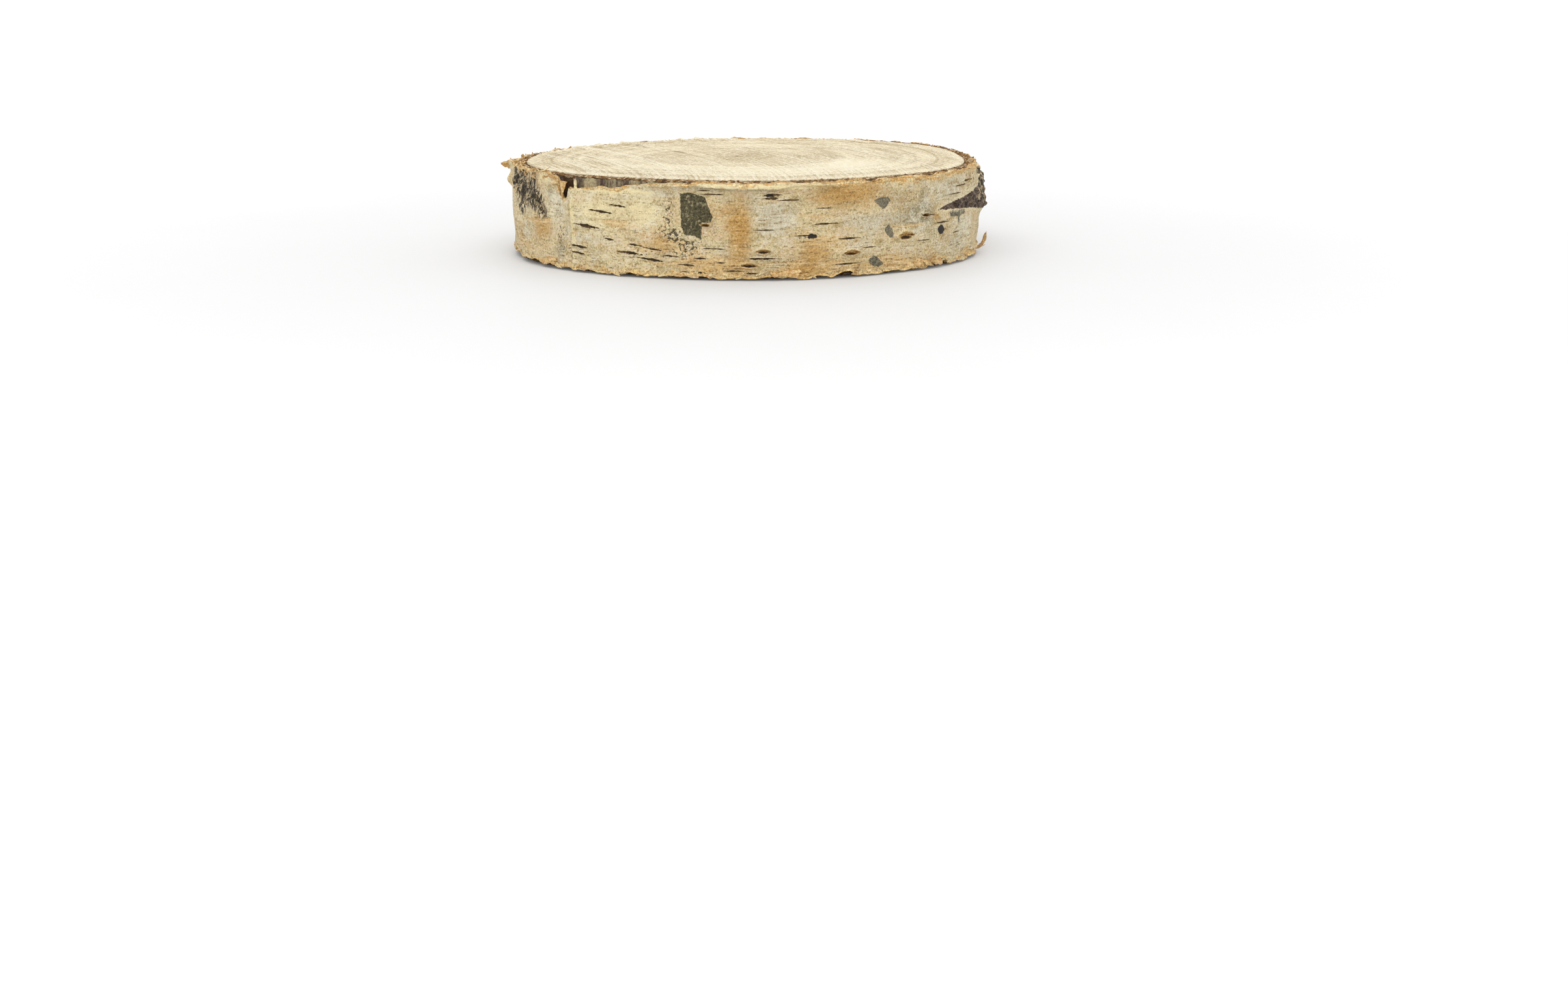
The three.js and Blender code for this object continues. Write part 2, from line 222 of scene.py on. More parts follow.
FOLDS = named(
    Field,
    (-138, 13, 4, 5, 1), (-40, 16, 6, 4, 1), (-30, 4, 7, 4, 0.7), (-152, 5, 6, 4, 0.8),
    (60, 15, 8, 4, 0.8), (128, 7, 6, 6, 0.9),
)
# The sides where more lenticels, eyes, patches and spots are drawn from a seed: angles, heights in mm, and
# about how many degrees a mm round the bark is.
UNSEEN_FROM, UNSEEN_TO = 8, 172
UNSEEN_LOW, UNSEEN_HIGH = 1.5, 18.5
DEGREES_PER_MM = 1.1

# Loose flakes of the outer bark: angle and height of the root, width, length, way (1 up, -1 down), lean from
# the wall, curl and twist in degrees, share of the width lost at the tip, sweep to the side in degrees, and
# tint from 0, cream, to 1, tan.
Flake = namedtuple(
    "Flake", "at height width length way lean curl twist point sweep tint", defaults=(0, 0.85)
)
FLAKES = named(
    Flake,
    (-135.9, 18.5, 3.5, 4.4, -1, 10, -16, 10, 0.95), (-139.6, 17.6, 4.6, 2, 1, 10, 14, 6, 0.2),
    (-138.6, 19, 2.4, 1.6, -1, 14, 20, 0, 0.1, 0, 0.3), (-131.3, 16.8, 1.2, 2.7, 1, 4, -8, 16, 0.1, 0, 0),
    (-141.5, 18.2, 3.4, 1.3, 1, 16, 20, -8, 0.3), (-147, 18.2, 3, 1.3, 1, 14, 24, -10, 0.4),
    (-152.5, 18.3, 3, 1.2, 1, 18, 20, 12, 0.5), (-176, 18.8, 2, 2.1, 1, 70, 8, 0, 0.6, 90),
    (173, 18, 8, 2.4, 1, 8, 4, 0, 0.4), (-142, 2.4, 7.5, 2, -1, 10, 8, 0, 0.25),
    (-103, 2, 6.6, 1.7, -1, 10, 8, 0, 0.3), (-97.5, 1.6, 4, 1.3, -1, 14, 10, -4, 0.3),
    (-80.4, 2.4, 6.4, 2.3, -1, 26, -12, 0, 0.1), (-87.6, 0.9, 0.5, 4.4, 1, 24, -14, 0, 0.4, 62, 0),
    (-64, 0.6, 1.6, 1.9, 1, 46, -40, 50, 0.7), (-44, 2.4, 5.2, 2.2, -1, 16, 10, 0, 0.4),
    (-41, 1.2, 2.2, 2.6, 1, 34, -10, 30, 0.8), (-39, 2.2, 3.6, 1.9, -1, 18, 8, 8, 0.3),
    (-47, 1, 1.2, 2.6, 1, 24, -20, 40, 0.8), (-9, 0.8, 1.5, 5, 1, 62, -70, 78, 0.75),
    (-10, 0.9, 2.2, 2, 1, 60, 10, 50, 0.4), (-47, 18.6, 3, 1.2, 1, 30, 30, 0, 0.3),
    (-58.5, 18.8, 4.5, 1.1, 1, 12, 20, 0, 0.4), (84, 16.2, 8, 3.4, 1, 26, 10, 0, 0.3),
    (95, 16.8, 4, 2.8, 1, 30, 16, 0, 0.5),
)

# How far inside the wall a flake is rooted, in mm.
FLAKE_SUNK = 0.22
# Seeds of the ragged edges of the flakes, of the small flakes and of the torn fibres.
FLAKE_SEED, FAMILY_SEED, FIBRE_SEED = 12, 9, 5

# Families of small flakes: where they start and stop, how many, on the rim or the foot, up or down, the
# longest and widest in mm, the share of the length behind the edge, and the ranges of lean and sweep in
# degrees.
Family = namedtuple("Family", "start stop count at_rim way length width rooted lean sweep")
SMALL_FLAKES = (
    Family(-180, 180, 120, True, 1, 1.1, 2.4, 0.8, (2, 20), (0, 24)),
    Family(-180, 180, 80, False, -1, 1.6, 5.0, 0.8, (2, 20), (0, 12)),
    Family(-180, 180, 130, False, 1, 1.6, 3.6, 0.0, (2, 20), (0, 16)),
    Family(-174, -139, 26, True, 1, 4.4, 0.8, 0.0, (-60, -8), (68, 90)),
    Family(-20, 40, 34, True, 1, 2.4, 1.0, 0.1, (-75, -30), (80, 92)),
)
# Growth rings: share of the way from the pith to the bark, and tone from 0, dark, to 1, pale.
RING_TONES = (
    (0, 0.3), (0.05, 0.45), (0.19, 0.4), (0.23, 0.55), (0.28, 0.4), (0.33, 0.55), (0.44, 0.36),
    (0.505, 0.72), (0.54, 0.55), (0.63, 0.72), (0.705, 0.36), (0.75, 0.68), (0.79, 0.38), (0.825, 0.7),
    (0.872, 0.5), (0.885, 0.08), (0.897, 0.42), (0.935, 0.4), (0.985, 0.82), (1, 0.6),
)
PITH = (-2.1, 2.5)
SAW_CENTRE = (-157.0, -59.0)
# Paler places on the upper face: x, y, half sizes in mm, strength.
FRESH = (
    (23, -17, 12, 14, 1), (6, -34, 18, 9, 0.7), (-12, -22, 14, 12, 0.3),
)
# Streaks along the saw marks: middle, length, half width and lift in mm.
Streak = namedtuple("Streak", "x y long wide lift")
SPLINTERS = named(
    Streak,
    (-29, 32, 21, 0.7, 0.7), (-38.2, 20.7, 15, 0.6, 0.6), (-35.6, 29, 10, 0.5, 0.6),
    (-13.7, 45, 10, 0.7, 0.7), (-17.3, 43.5, 8, 0.5, 0.6), (-24, 25.7, 12, 0.5, 0.3),
    (26, 40, 12, 0.5, 0.4),
)
SCORES = named(
    Streak,
    (-38, 1, 30, 0.2, 0.06), (-34, -4, 22, 0.2, 0.05), (-29, -9, 26, 0.16, 0.04), (10, 0, 26, 0.2, 0.05),
    (20, 22, 36, 0.2, 0.06), (25, 16, 44, 0.24, 0.06), (30, 12, 40, 0.2, 0.06), (35, 12, 34, 0.22, 0.06),
    (39, 6, 24, 0.2, 0.05), (16, -22, 26, 0.24, 0.05), (4, 30, 26, 0.18, 0.04), (-6, 26, 18, 0.18, 0.04),
)
GASH = Streak(-15.5, 12.4, 8, 0.8, 0)
# Where the saw tore the edge of the wood, and where it left slivers standing.
TORN_EDGE = Stretch(57, 172, 10, 0.8)
SLIVERS = Stretch(98, 166, 8, 0.5)
# How far the edge of the wood is rounded, and how the saw's pattern is shifted on the underside, in mm.
WOOD_ROUNDING = 0.22
UNDER_ACROSS, UNDER_ALONG = 57, 91
# Where the rim has lost its white skin in a broad band.
GOLDEN_RIM = Stretch(-62, 6, 8, 0.9)
# The inner bark: its gap to the wood, and how far its faces lie inside the sawn ones.
WOOD_GAP, INNER_SUNK = 0.03, 0.4
# Points across a thin strip, as shares of its half width.
STRIP_SHARES = (-1, -0.5, 0, 0.5, 1)


def paint(red, green, blue):
    """The scene-linear colour of an sRGB colour given from 0 to 255."""
    shares = (red / 255, green / 255, blue / 255)
    return tuple(c / 12.92 if c <= 0.04045 else ((c + 0.055) / 1.055) ** 2.4 for c in shares)


def length_property(name, description, metres):
    """A length property."""
    return bpy.props.FloatProperty(name=name, description=description, default=metres, unit="LENGTH")


class BirchSizes(bpy.types.PropertyGroup):
    """Sizes of the slice."""

    thickness: length_property("Thickness", "From sawn face to sawn face", WOOD_HIGH.z - WOOD_LOW.z)
    wood_radius: length_property("Wood Radius", "Mean radius of the wood", 0.048)
    bark: length_property("Bark", "Mean thickness of both barks together", 0.0034)
    paper: length_property("Paper", "Thickness of the outer bark", 0.001)
    saw_pitch: length_property("Saw Pitch", "Mean distance between saw marks", 0.0013)
    saw_depth: length_property("Saw Depth", "Height of the saw marks", 0.00007)


def colour_property(name, description, rgb):
    """A colour property with an sRGB default from 0 to 255."""
    return bpy.props.FloatVectorProperty(
        name=name, description=description, default=paint(*rgb), subtype="COLOR", size=3, min=0, max=1
    )


class BirchColours(bpy.types.PropertyGroup):
    """Colours of the slice."""

    wood_pale: colour_property("Pale Wood", "Pale growth rings", (244, 232, 201))
    wood_dark: colour_property("Dark Wood", "Dark growth rings", (176, 152, 106))
    wood_fresh: colour_property("Fresh Wood", "Raised streaks that the saw left", (248, 240, 216))
    pith: colour_property("Pith", "Pith and pores", (120, 88, 50))
    inner_bark: colour_property("Inner Bark", "Ground of the inner bark", (158, 116, 66))
    grain: colour_property("Grains", "Pale grains in the inner bark", (240, 212, 168))
    paper: colour_property("Paper", "Clean outer bark", (250, 231, 178))
    worn: colour_property("Worn Paper", "Outer bark that has weathered grey", (210, 188, 138))
    bloom: colour_property("Bloom", "Grey-white bloom on the outer bark", (216, 206, 176))
    stain: colour_property("Stain", "Orange stains on the outer bark", (202, 154, 80))
    # Used both as an olive-grey tint and as painted shade under the rolled lip and beside the crease.
    shade: colour_property("Shade", "Olive-grey shades on the outer bark", (138, 126, 88))
    dark: colour_property("Dark Patch", "Dark grey patches", (92, 85, 58))
    black: colour_property("Old Bark", "Fissured bark and lenticels", (58, 46, 30))
    layer: colour_property("Torn Layers", "Torn edges and undersides of the outer bark", (224, 184, 118))


def number_property(name, description, value):
    """A property that is a plain number."""
    return bpy.props.FloatProperty(name=name, description=description, default=value)


class BirchStage(bpy.types.PropertyGroup):
    """Camera, floor and light."""

    camera_place: bpy.props.FloatVectorProperty(
        name="Camera",
        description="Place of the camera from the slice's middle",
        default=(0.00824, -0.5145, 0.0686),
        subtype="XYZ",
        unit="LENGTH",
    )
    camera_pitch: bpy.props.FloatProperty(
        name="Pitch", description="How far the camera looks down", default=np.radians(13.69), subtype="ANGLE"
    )
    lens: number_property("Lens", "Focal length for a 36 mm sensor, in mm", 52.97)
    sky: number_property("Sky", "Strength of the white surround", 1.0)
    overhead: number_property("Overhead", "Strength of the wide overhead light", 1.05)
    key: number_property("Key", "Strength of the soft light from the front", 1.35)


def degrees_from(at, angle):
    """The signed turn in degrees from `at` to an angle in radians, from -180 to 180."""
    return (np.degrees(angle) - at + 180) % 360 - 180


def smooth_step(low, high, value):
    """0 below low, 1 above high, and a smooth cubic between them."""
    share = np.clip((value - low) / (high - low), 0, 1)
    return share * share * (3 - 2 * share)


def between(stretch, angle):
    """1 inside a stretch of the rim, falling to 0 over its fade outside it."""
    middle, half = (stretch.start + stretch.stop) / 2, (stretch.stop - stretch.start) / 2
    return 1 - smooth_step(0, stretch.fade, np.abs(degrees_from(middle, angle)) - half)


def lobes(table, angle):
    """The sum of cosine lobes at an angle."""
    return sum(swell * np.cos(waves * (angle - np.radians(at))) for waves, swell, at in table)


def lattice_noise(across, up, cells, seed):
    """Smooth noise from -1 to 1: random numbers on the corners of unit cells, blended by a smooth step. It
    repeats after `cells` cells along `across`."""
    table = np.random.default_rng(seed).uniform(-1, 1, (cells, NOISE_ROWS))
    column, row = np.floor(across).astype(int), np.floor(up).astype(int)
    right, above = smooth_step(0, 1, across - column), smooth_step(0, 1, up - row)
    corners = [[table[(column + i) % cells, (row + j) % NOISE_ROWS] for i in (0, 1)] for j in (0, 1)]
    low, high = (near * (1 - right) + far * right for near, far in corners)
    return low * (1 - above) + high * above


def bark_noise(angle, height, cells, tall, octaves, seed):
    """Lattice noise wrapped round the trunk, with cells `tall` mm high, summed over octaves of half size and
    half strength."""
    turn = angle / (2 * np.pi) + 0.5
    total = 0
    for octave in range(octaves):
        fine = 2**octave
        noise = lattice_noise(turn * cells * fine, height / tall * fine, cells * fine, seed + octave)
        total = total + noise / fine
    return total


def rim_noise(angle, cells, octaves, seed):
    """Bark noise along one level line, as an edge has it."""
    return bark_noise(angle, 0 * angle, cells, 1.0, octaves, seed)


def scattered_cells(across, up, cells, seed):
    """Distance to the nearest of points that are scattered one to a unit cell, in cells, and a random share
    that belongs to that point. The pattern repeats after `cells` cells along `across`."""
    table = np.random.default_rng(seed).uniform(0.1, 0.9, (cells, CELL_ROWS, 3))
    column, row = np.floor(across).astype(int), np.floor(up).astype(int)
    nearest = np.full(np.broadcast(across, up).shape, 9.0)
    share = 0 * nearest
    for right in (-1, 0, 1):
        for above in (-1, 0, 1):
            point = table[(column + right) % cells, (row + above) % CELL_ROWS]
            away = np.hypot(column + right + point[..., 0] - across, row + above + point[..., 1] - up)
            share = np.where(away < nearest, point[..., 2], share)
            nearest = np.minimum(nearest, away)
    return nearest, share


def notch(angle):
    """1 in the notch of the rim, falling steeply to 0 on both sides."""
    return np.exp(-((2 * degrees_from(NOTCH_AT, angle) / NOTCH_WIDTH) ** 4))


class Trunk:
    """The slice's section and the surface of its bark, in mm about the trunk's own middle."""

    def __init__(self, sizes):
        self.thick = sizes.thickness / MM
        self.wood_radius = sizes.wood_radius / MM
        self.bark_thick = sizes.bark / MM
        self.paper = sizes.paper / MM
        round_trip = np.linspace(-np.pi, np.pi, 7200, endpoint=False)
        x, y = self.wood(round_trip) * np.cos(round_trip), self.wood(round_trip) * np.sin(round_trip)
        self.middle = np.array(
            [
                (WOOD_LOW.x + WOOD_HIGH.x) / 2 / MM - (x.min() + x.max()) / 2,
                (WOOD_LOW.y + WOOD_HIGH.y) / 2 / MM - (y.min() + y.max()) / 2,
                WOOD_LOW.z / MM,
            ]
        )

    def in_row(self, points):
        """Points in mm about the trunk's middle, as metres in the row frame."""
        return (points + self.middle) * MM

    def wood(self, angle):
        """Radius of the wood: a circle with lobes."""
        return self.wood_radius + lobes(WOOD_LOBES, angle)

    def bark(self, angle):
        """Mean radius of the outer bark's face: the wood's radius, the bark's thickness and its lobes."""
        return self.wood(angle) + self.bark_thick + lobes(BARK_LOBES, angle)

    def relief(self, angle, height):
        """How far the outer bark stands out: slanting swells, bell-shaped lumps, the rolled lip under the
        rim, the step at the crease and the flare of the foot."""
        radius = self.bark(angle)
        out = 0
        for waves, swell, at, rise in SURFACE_SWELLS:
            out = out + swell * np.cos(waves * (angle - np.radians(at)) + rise * height)
        for lump in LUMPS:
            along = np.radians(degrees_from(lump.at, angle)) * radius / lump.across
            up = (height - lump.height) / lump.tall
            out = out + lump.swell * np.exp(-along * along - up * up)
        under_rim = (height - self.thick + LIP_DROP) / LIP_TALL
        out = out + LIP.depth * between(LIP, angle) * np.exp(-(under_rim**2))
        past = degrees_from(CREASE_AT, angle)
        proud = smooth_step(-CREASE_FADE / 2, CREASE_FADE / 2, past)
        proud = proud * (1 - smooth_step(0, CREASE_RUN_OUT, past))
        return out + CREASE_STEP * proud + FLARE * np.exp(-height / FLARE_TALL)

    def upper_tear(self, angle):
        """Depth of the torn upper edge: ragged waves, worn rim, and the deeper of the peeled strip and the
        notch."""
        along = np.clip(degrees_from(STRIP.start, angle) / (STRIP.stop - STRIP.start), 0, 1)
        torn = STRIP.depth * (1 - along) * between(STRIP, angle)
        worn = WORN_RIM.depth * between(WORN_RIM, angle)
        return RAGGED_DEPTH + lobes(RAGGED, angle) + worn + np.maximum(torn, NOTCH_DEPTH * notch(angle))

    def lower_tear(self, angle):
        """Height of the torn lower edge: ragged waves, the worn foot and bell-shaped gaps."""
        gaps = sum(lift * np.exp(-((degrees_from(at, angle) / half) ** 4)) for at, half, lift in FOOT_GAPS)
        ragged = RAGGED_DEPTH + FOOT_LIFT + lobes(RAGGED, angle + 1)
        return ragged + WORN_FOOT.depth * between(WORN_FOOT, angle) + gaps

    def lens(self, angle, height, marks):
        """The nearest of lens-shaped marks: 1 in its middle, 0 at its edge and -1 far away, which is one less
        the square of the share along it and less the share up it; then both shares. Marks in the leaning
        stretch fall to the right."""
        radius = self.bark(angle)
        value = np.full(np.broadcast(angle, height).shape, -999.0)
        share_along, share_up = 0 * value, 0 * value
        for mark in marks:
            along = np.radians(degrees_from(mark.at, angle)) * radius + 0 * height
            up = height - mark.height + LEANING.depth * between(LEANING, np.radians(mark.at)) * along
            along, up = along / (mark.long / 2), up / (mark.tall / 2)
            found = 1 - along**2 - np.abs(up)
            nearer = found > value
            value = np.where(nearer, found, value)
            share_along, share_up = np.where(nearer, along, share_along), np.where(nearer, up, share_up)
        return np.maximum(value, -1), share_along, share_up

    def spot(self, angle, height, marks):
        """Depth in mm inside the nearest elliptical mark, negative outside."""
        radius = self.bark(angle)
        value = np.full(np.broadcast(angle, height).shape, -9.0)
        for mark in marks:
            along = np.radians(degrees_from(mark.at, angle)) * radius / (mark.long / 2)
            share = 1 - np.hypot(along, (height - mark.height) / (mark.tall / 2))
            value = np.maximum(value, share * min(mark.long, mark.tall) / 2)
        return value

    def inside(self, angle, height, outline):
        """Depth in mm inside an outline of angles and heights, negative outside: the distance to the nearest
        edge, with its sign from the number of edges crossed."""
        at = np.mean([corner[0] for corner in outline])
        scale = np.radians(1) * self.bark(np.radians(at))
        along, up = degrees_from(at, angle) * scale + 0 * height, height + 0 * angle
        nearest, within = np.full(along.shape, 99.0), np.zeros(along.shape, bool)
        corners = [(degrees_from(at, np.radians(a)) * scale, h) for a, h in outline]
        for (x0, y0), (x1, y1) in zip(corners, corners[1:] + corners[:1]):
            share = ((along - x0) * (x1 - x0) + (up - y0) * (y1 - y0)) / ((x1 - x0) ** 2 + (y1 - y0) ** 2)
            share = np.clip(share, 0, 1)
            away = np.hypot(along - x0 - share * (x1 - x0), up - y0 - share * (y1 - y0))
            nearest = np.minimum(nearest, away)
            if y0 != y1:
                crosses = (up < max(y0, y1)) & (up >= min(y0, y1))
                within ^= crosses & (along < x0 + (up - y0) / (y1 - y0) * (x1 - x0))
        return np.where(within, nearest, -nearest)

    def amount(self, angle, height, fields):
        """The sum of bell-shaped fields."""
        radius = self.bark(angle)
        total = 0
        for field in fields:
            along = np.radians(degrees_from(field.at, angle)) * radius / field.across
            total = total + field.strength * np.exp(-(along**2) - ((height - field.height) / field.tall) ** 2)
        return np.clip(total, 0, 1)


def scattered(seed, count, long, tall):
    """Marks drawn over the unseen sides: angle, height, length and tallness from even ranges."""
    draw = np.random.default_rng(seed)
    rows = zip(
        draw.uniform(UNSEEN_FROM, UNSEEN_TO, count),
        draw.uniform(UNSEEN_LOW, UNSEEN_HIGH, count),
        draw.uniform(*long, count),
        draw.uniform(*tall, count),
    )
    return tuple(Mark(*row) for row in rows)


def scattered_outlines(seed, count, long, tall):
    """Ragged outlines on the same sides: corners round each drawn mark, at random shares of its sizes."""
    draw = np.random.default_rng(seed)
    corners = 8
    turn = np.linspace(0, 2 * np.pi, corners, endpoint=False)
    outlines = []
    for mark in scattered(seed, count, long, tall):
        share = draw.uniform(0.5, 1.1, corners)
        angles = mark.at + np.cos(turn) * share * mark.long / 2 * DEGREES_PER_MM
        outlines.append(tuple(zip(angles, mark.height + np.sin(turn) * share * mark.tall / 2)))
    return tuple(outlines)


def grid_faces(columns, rows, close_columns, close_rows):
    """Quads of a grid of points, numbered row by row within a column. It may close on itself either way."""
    column = np.arange(columns if close_columns else columns - 1)[:, None]
    row = np.arange(rows if close_rows else rows - 1)[None, :]
    right, up = (column + 1) % columns, (row + 1) % rows
    corners = [column * rows + row, right * rows + row, right * rows + up, column * rows + up]
    return np.stack(corners, -1).reshape(-1, 4)


def lay_piece(name, points, faces, fields, material):
    """A mesh object at the origin from points in metres, quads and named point attributes, smooth but for its
    sharp edges, that rides on the slice."""
    points = np.asarray(points, np.float32).reshape(-1, 3)
    mesh = bpy.data.meshes.new(name)
    mesh.vertices.add(len(points))
    mesh.vertices.foreach_set("co", points.ravel())
    mesh.loops.add(faces.size)
    mesh.loops.foreach_set("vertex_index", faces.ravel().astype(np.int32))
    mesh.polygons.add(len(faces))
    mesh.polygons.foreach_set("loop_start", np.arange(0, faces.size, 4, dtype=np.int32))
    for field, values in fields.items():
        layer = mesh.attributes.new(field, "FLOAT", "POINT")
        layer.data.foreach_set("value", np.asarray(values, np.float32).ravel())
    mesh.update(calc_edges=True)
    mesh.validate()
    mesh.set_sharp_from_angle(angle=np.radians(SHARP_EDGE))
    mesh.materials.append(material)
    piece = bpy.data.objects.new(name, mesh)
    bpy.context.scene.collection.objects.link(piece)
    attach(piece, "root")
    return piece


class Wire:
    """A shader socket in Python arithmetic: each operator adds the Math node that works it out."""

    def __init__(self, finish, socket):
        self.finish = finish
        self.socket = socket

    def math(self, operation, *terms):
        return self.finish.node("ShaderNodeMath", {"operation": operation}, dict(enumerate(terms)))

    def __add__(self, other):
        return self.math("ADD", self, other)

    def __sub__(self, other):
        return self.math("SUBTRACT", self, other)

    def __rsub__(self, other):
        return self.math("SUBTRACT", other, self)

    def __mul__(self, other):
        return self.math("MULTIPLY", self, other)

    def __truediv__(self, other):
        return self.math("DIVIDE", self, other)

    __radd__ = __add__
    __rmul__ = __mul__

    def size(self):
        """The value without its sign."""
        return self.math("ABSOLUTE", self)

    def wave(self):
        """The sine of this value."""
        return self.math("SINE", self)

    def most(self, other):
        """The larger of two values."""
        return self.math("MAXIMUM", self, other)

    def swing(self, amount):
        """How far this value is from the middle of a noise, times an amount."""
        return (self - NOISE_MIDDLE) * amount

    def step(self, low, high):
        """0 at low, 1 at high, smooth between them."""
        return self.finish.node(
            "ShaderNodeMapRange",
            {"interpolation_type": "SMOOTHSTEP"},
            {"Value": self, "From Min": low, "From Max": high},
        )

    def line(self, high, low=0.0):
        """1 where this value is zero, falling to 0 while its square goes from low to high."""
        return 1 - (self * self).step(low, high)


class Finish:
    """A material in the making: coats over a ground colour. `place` is the Object coordinate in mm."""

    def __init__(self, name, ground):
        self.material = bpy.data.materials.new(name)
        self.material.use_nodes = True
        self.tree = self.material.node_tree
        self.tree.nodes.clear()
        self.colour = ground
        self.place = self.scaled(self.node("ShaderNodeTexCoord", output="Object"), 1 / MM)

    def node(self, kind, settings=None, sockets=None, output=None):
        """Adds a node: its settings first, a ramp's stops among them, then the values or links of sockets."""
        node = self.tree.nodes.new(kind)
        for name, value in (settings or {}).items():
            if name == "stops":
                elements = node.color_ramp.elements
                while len(elements) < len(value):
                    elements.new(1.0)
                for element, (position, rgb) in zip(elements, value):
                    element.position = position
                    element.color = (*rgb, 1.0)
            else:
                setattr(node, name, value)
        for name, value in (sockets or {}).items():
            if isinstance(name, int):
                socket = node.inputs[name]
            else:
                socket = next(s for s in node.inputs if s.enabled and s.name == name)
            if isinstance(value, Wire):
                self.tree.links.new(value.socket, socket)
            elif socket.type == "RGBA":
                socket.default_value = (*value, 1.0)
            else:
                socket.default_value = value
        outputs = [s for s in node.outputs if s.enabled and output in (None, s.name)]
        return Wire(self, outputs[0]) if outputs else None

    def field(self, name):
        """A point attribute of the piece."""
        return self.node("ShaderNodeAttribute", {"attribute_name": name}, output="Fac")

    def lens(self, name, drop=0.0, long=1.0, tall=1.0):
        """A lens mark of the piece from its own shares, exact between the points of the grid: 1 in its
        middle, 0 at its edge, -1 far away. It can be a part of the mark: dropped by a share, and shorter and
        flatter."""
        along, up = self.field(name + "_along") / long, (self.field(name + "_up") + drop) / tall
        near = self.field(name).step(-0.75, -0.4)
        return near * (2 - along * along - up.size()) - 1

    def vector(self, x, y=0.0):
        """Two values as a place at which a pattern is read."""
        return self.node("ShaderNodeCombineXYZ", {}, {"X": x, "Y": y})

    def scaled(self, vector, factor):
        """A vector times one value."""
        return self.node("ShaderNodeVectorMath", {"operation": "SCALE"}, {"Vector": vector, "Scale": factor})

    def stretched(self, *scale, place=None):
        """A place in mm, or the point's own, with each axis multiplied: small scales make long patterns."""
        sockets = {0: place or self.place, 1: scale}
        return self.node("ShaderNodeVectorMath", {"operation": "MULTIPLY"}, sockets)

    def sheared(self, push):
        """The place in mm, pushed sideways in proportion to its height."""
        shift = self.scaled(push, self.node("ShaderNodeSeparateXYZ", {}, {0: self.place}, "Z"))
        return self.node("ShaderNodeVectorMath", {"operation": "ADD"}, {0: self.place, 1: shift})

    def noise(self, scale, detail=3.0, roughness=0.55, distortion=0.0, place=None):
        """Noise from 0 to 1 at a place, or at the point's own."""
        sockets = {"Vector": place or self.place, "Scale": scale, "Detail": detail}
        sockets.update({"Roughness": roughness, "Distortion": distortion})
        return self.node("ShaderNodeTexNoise", {}, sockets)

    def blend(self, first, second, share, mode="MIX"):
        """The second colour over the first, by a share."""
        settings = {"data_type": "RGBA", "blend_type": mode}
        return self.node("ShaderNodeMix", settings, {"Factor": share, "A": first, "B": second})

    def coat(self, colour, share):
        """Lays a colour over the coats before it, by a share."""
        self.colour = self.blend(self.colour, colour, share)

    def grey(self, value):
        """A value as a grey colour, to multiply with."""
        return self.node("ShaderNodeCombineColor", {}, {0: value, 1: value, 2: value})

    def shaded(self, colour, value):
        """A colour made lighter or darker by a value about 1."""
        return self.blend(colour, self.grey(value), 1.0, "MULTIPLY")

    def toned(self, colour, tone, shadow, light):
        """A colour that falls to a shadow where a tone about 0.5 is low, and rises to a light where high."""
        lower = self.blend(shadow, colour, tone.step(0.1, 0.5))
        return self.blend(lower, light, tone.step(0.5, 0.95) * 0.65)

    def surface(self, roughness, height, distance, specular=0.3, painted_glow=None):
        """Ends the material: its coats, a roughness, a bump of the given height times a distance in metres,
        and a painted glow."""
        normal = self.node("ShaderNodeBump", {}, {"Strength": 1.0, "Distance": distance, "Height": height})
        sockets = {"Base Color": self.colour, "Roughness": roughness}
        sockets.update({"Specular IOR Level": specular, "Normal": normal})
        if painted_glow:
            sockets.update({"Emission Color": painted_glow, "Emission Strength": 1.0})
        shader = self.node("ShaderNodeBsdfPrincipled", {}, sockets)
        self.node("ShaderNodeOutputMaterial", {}, {"Surface": shader})
        return self.material


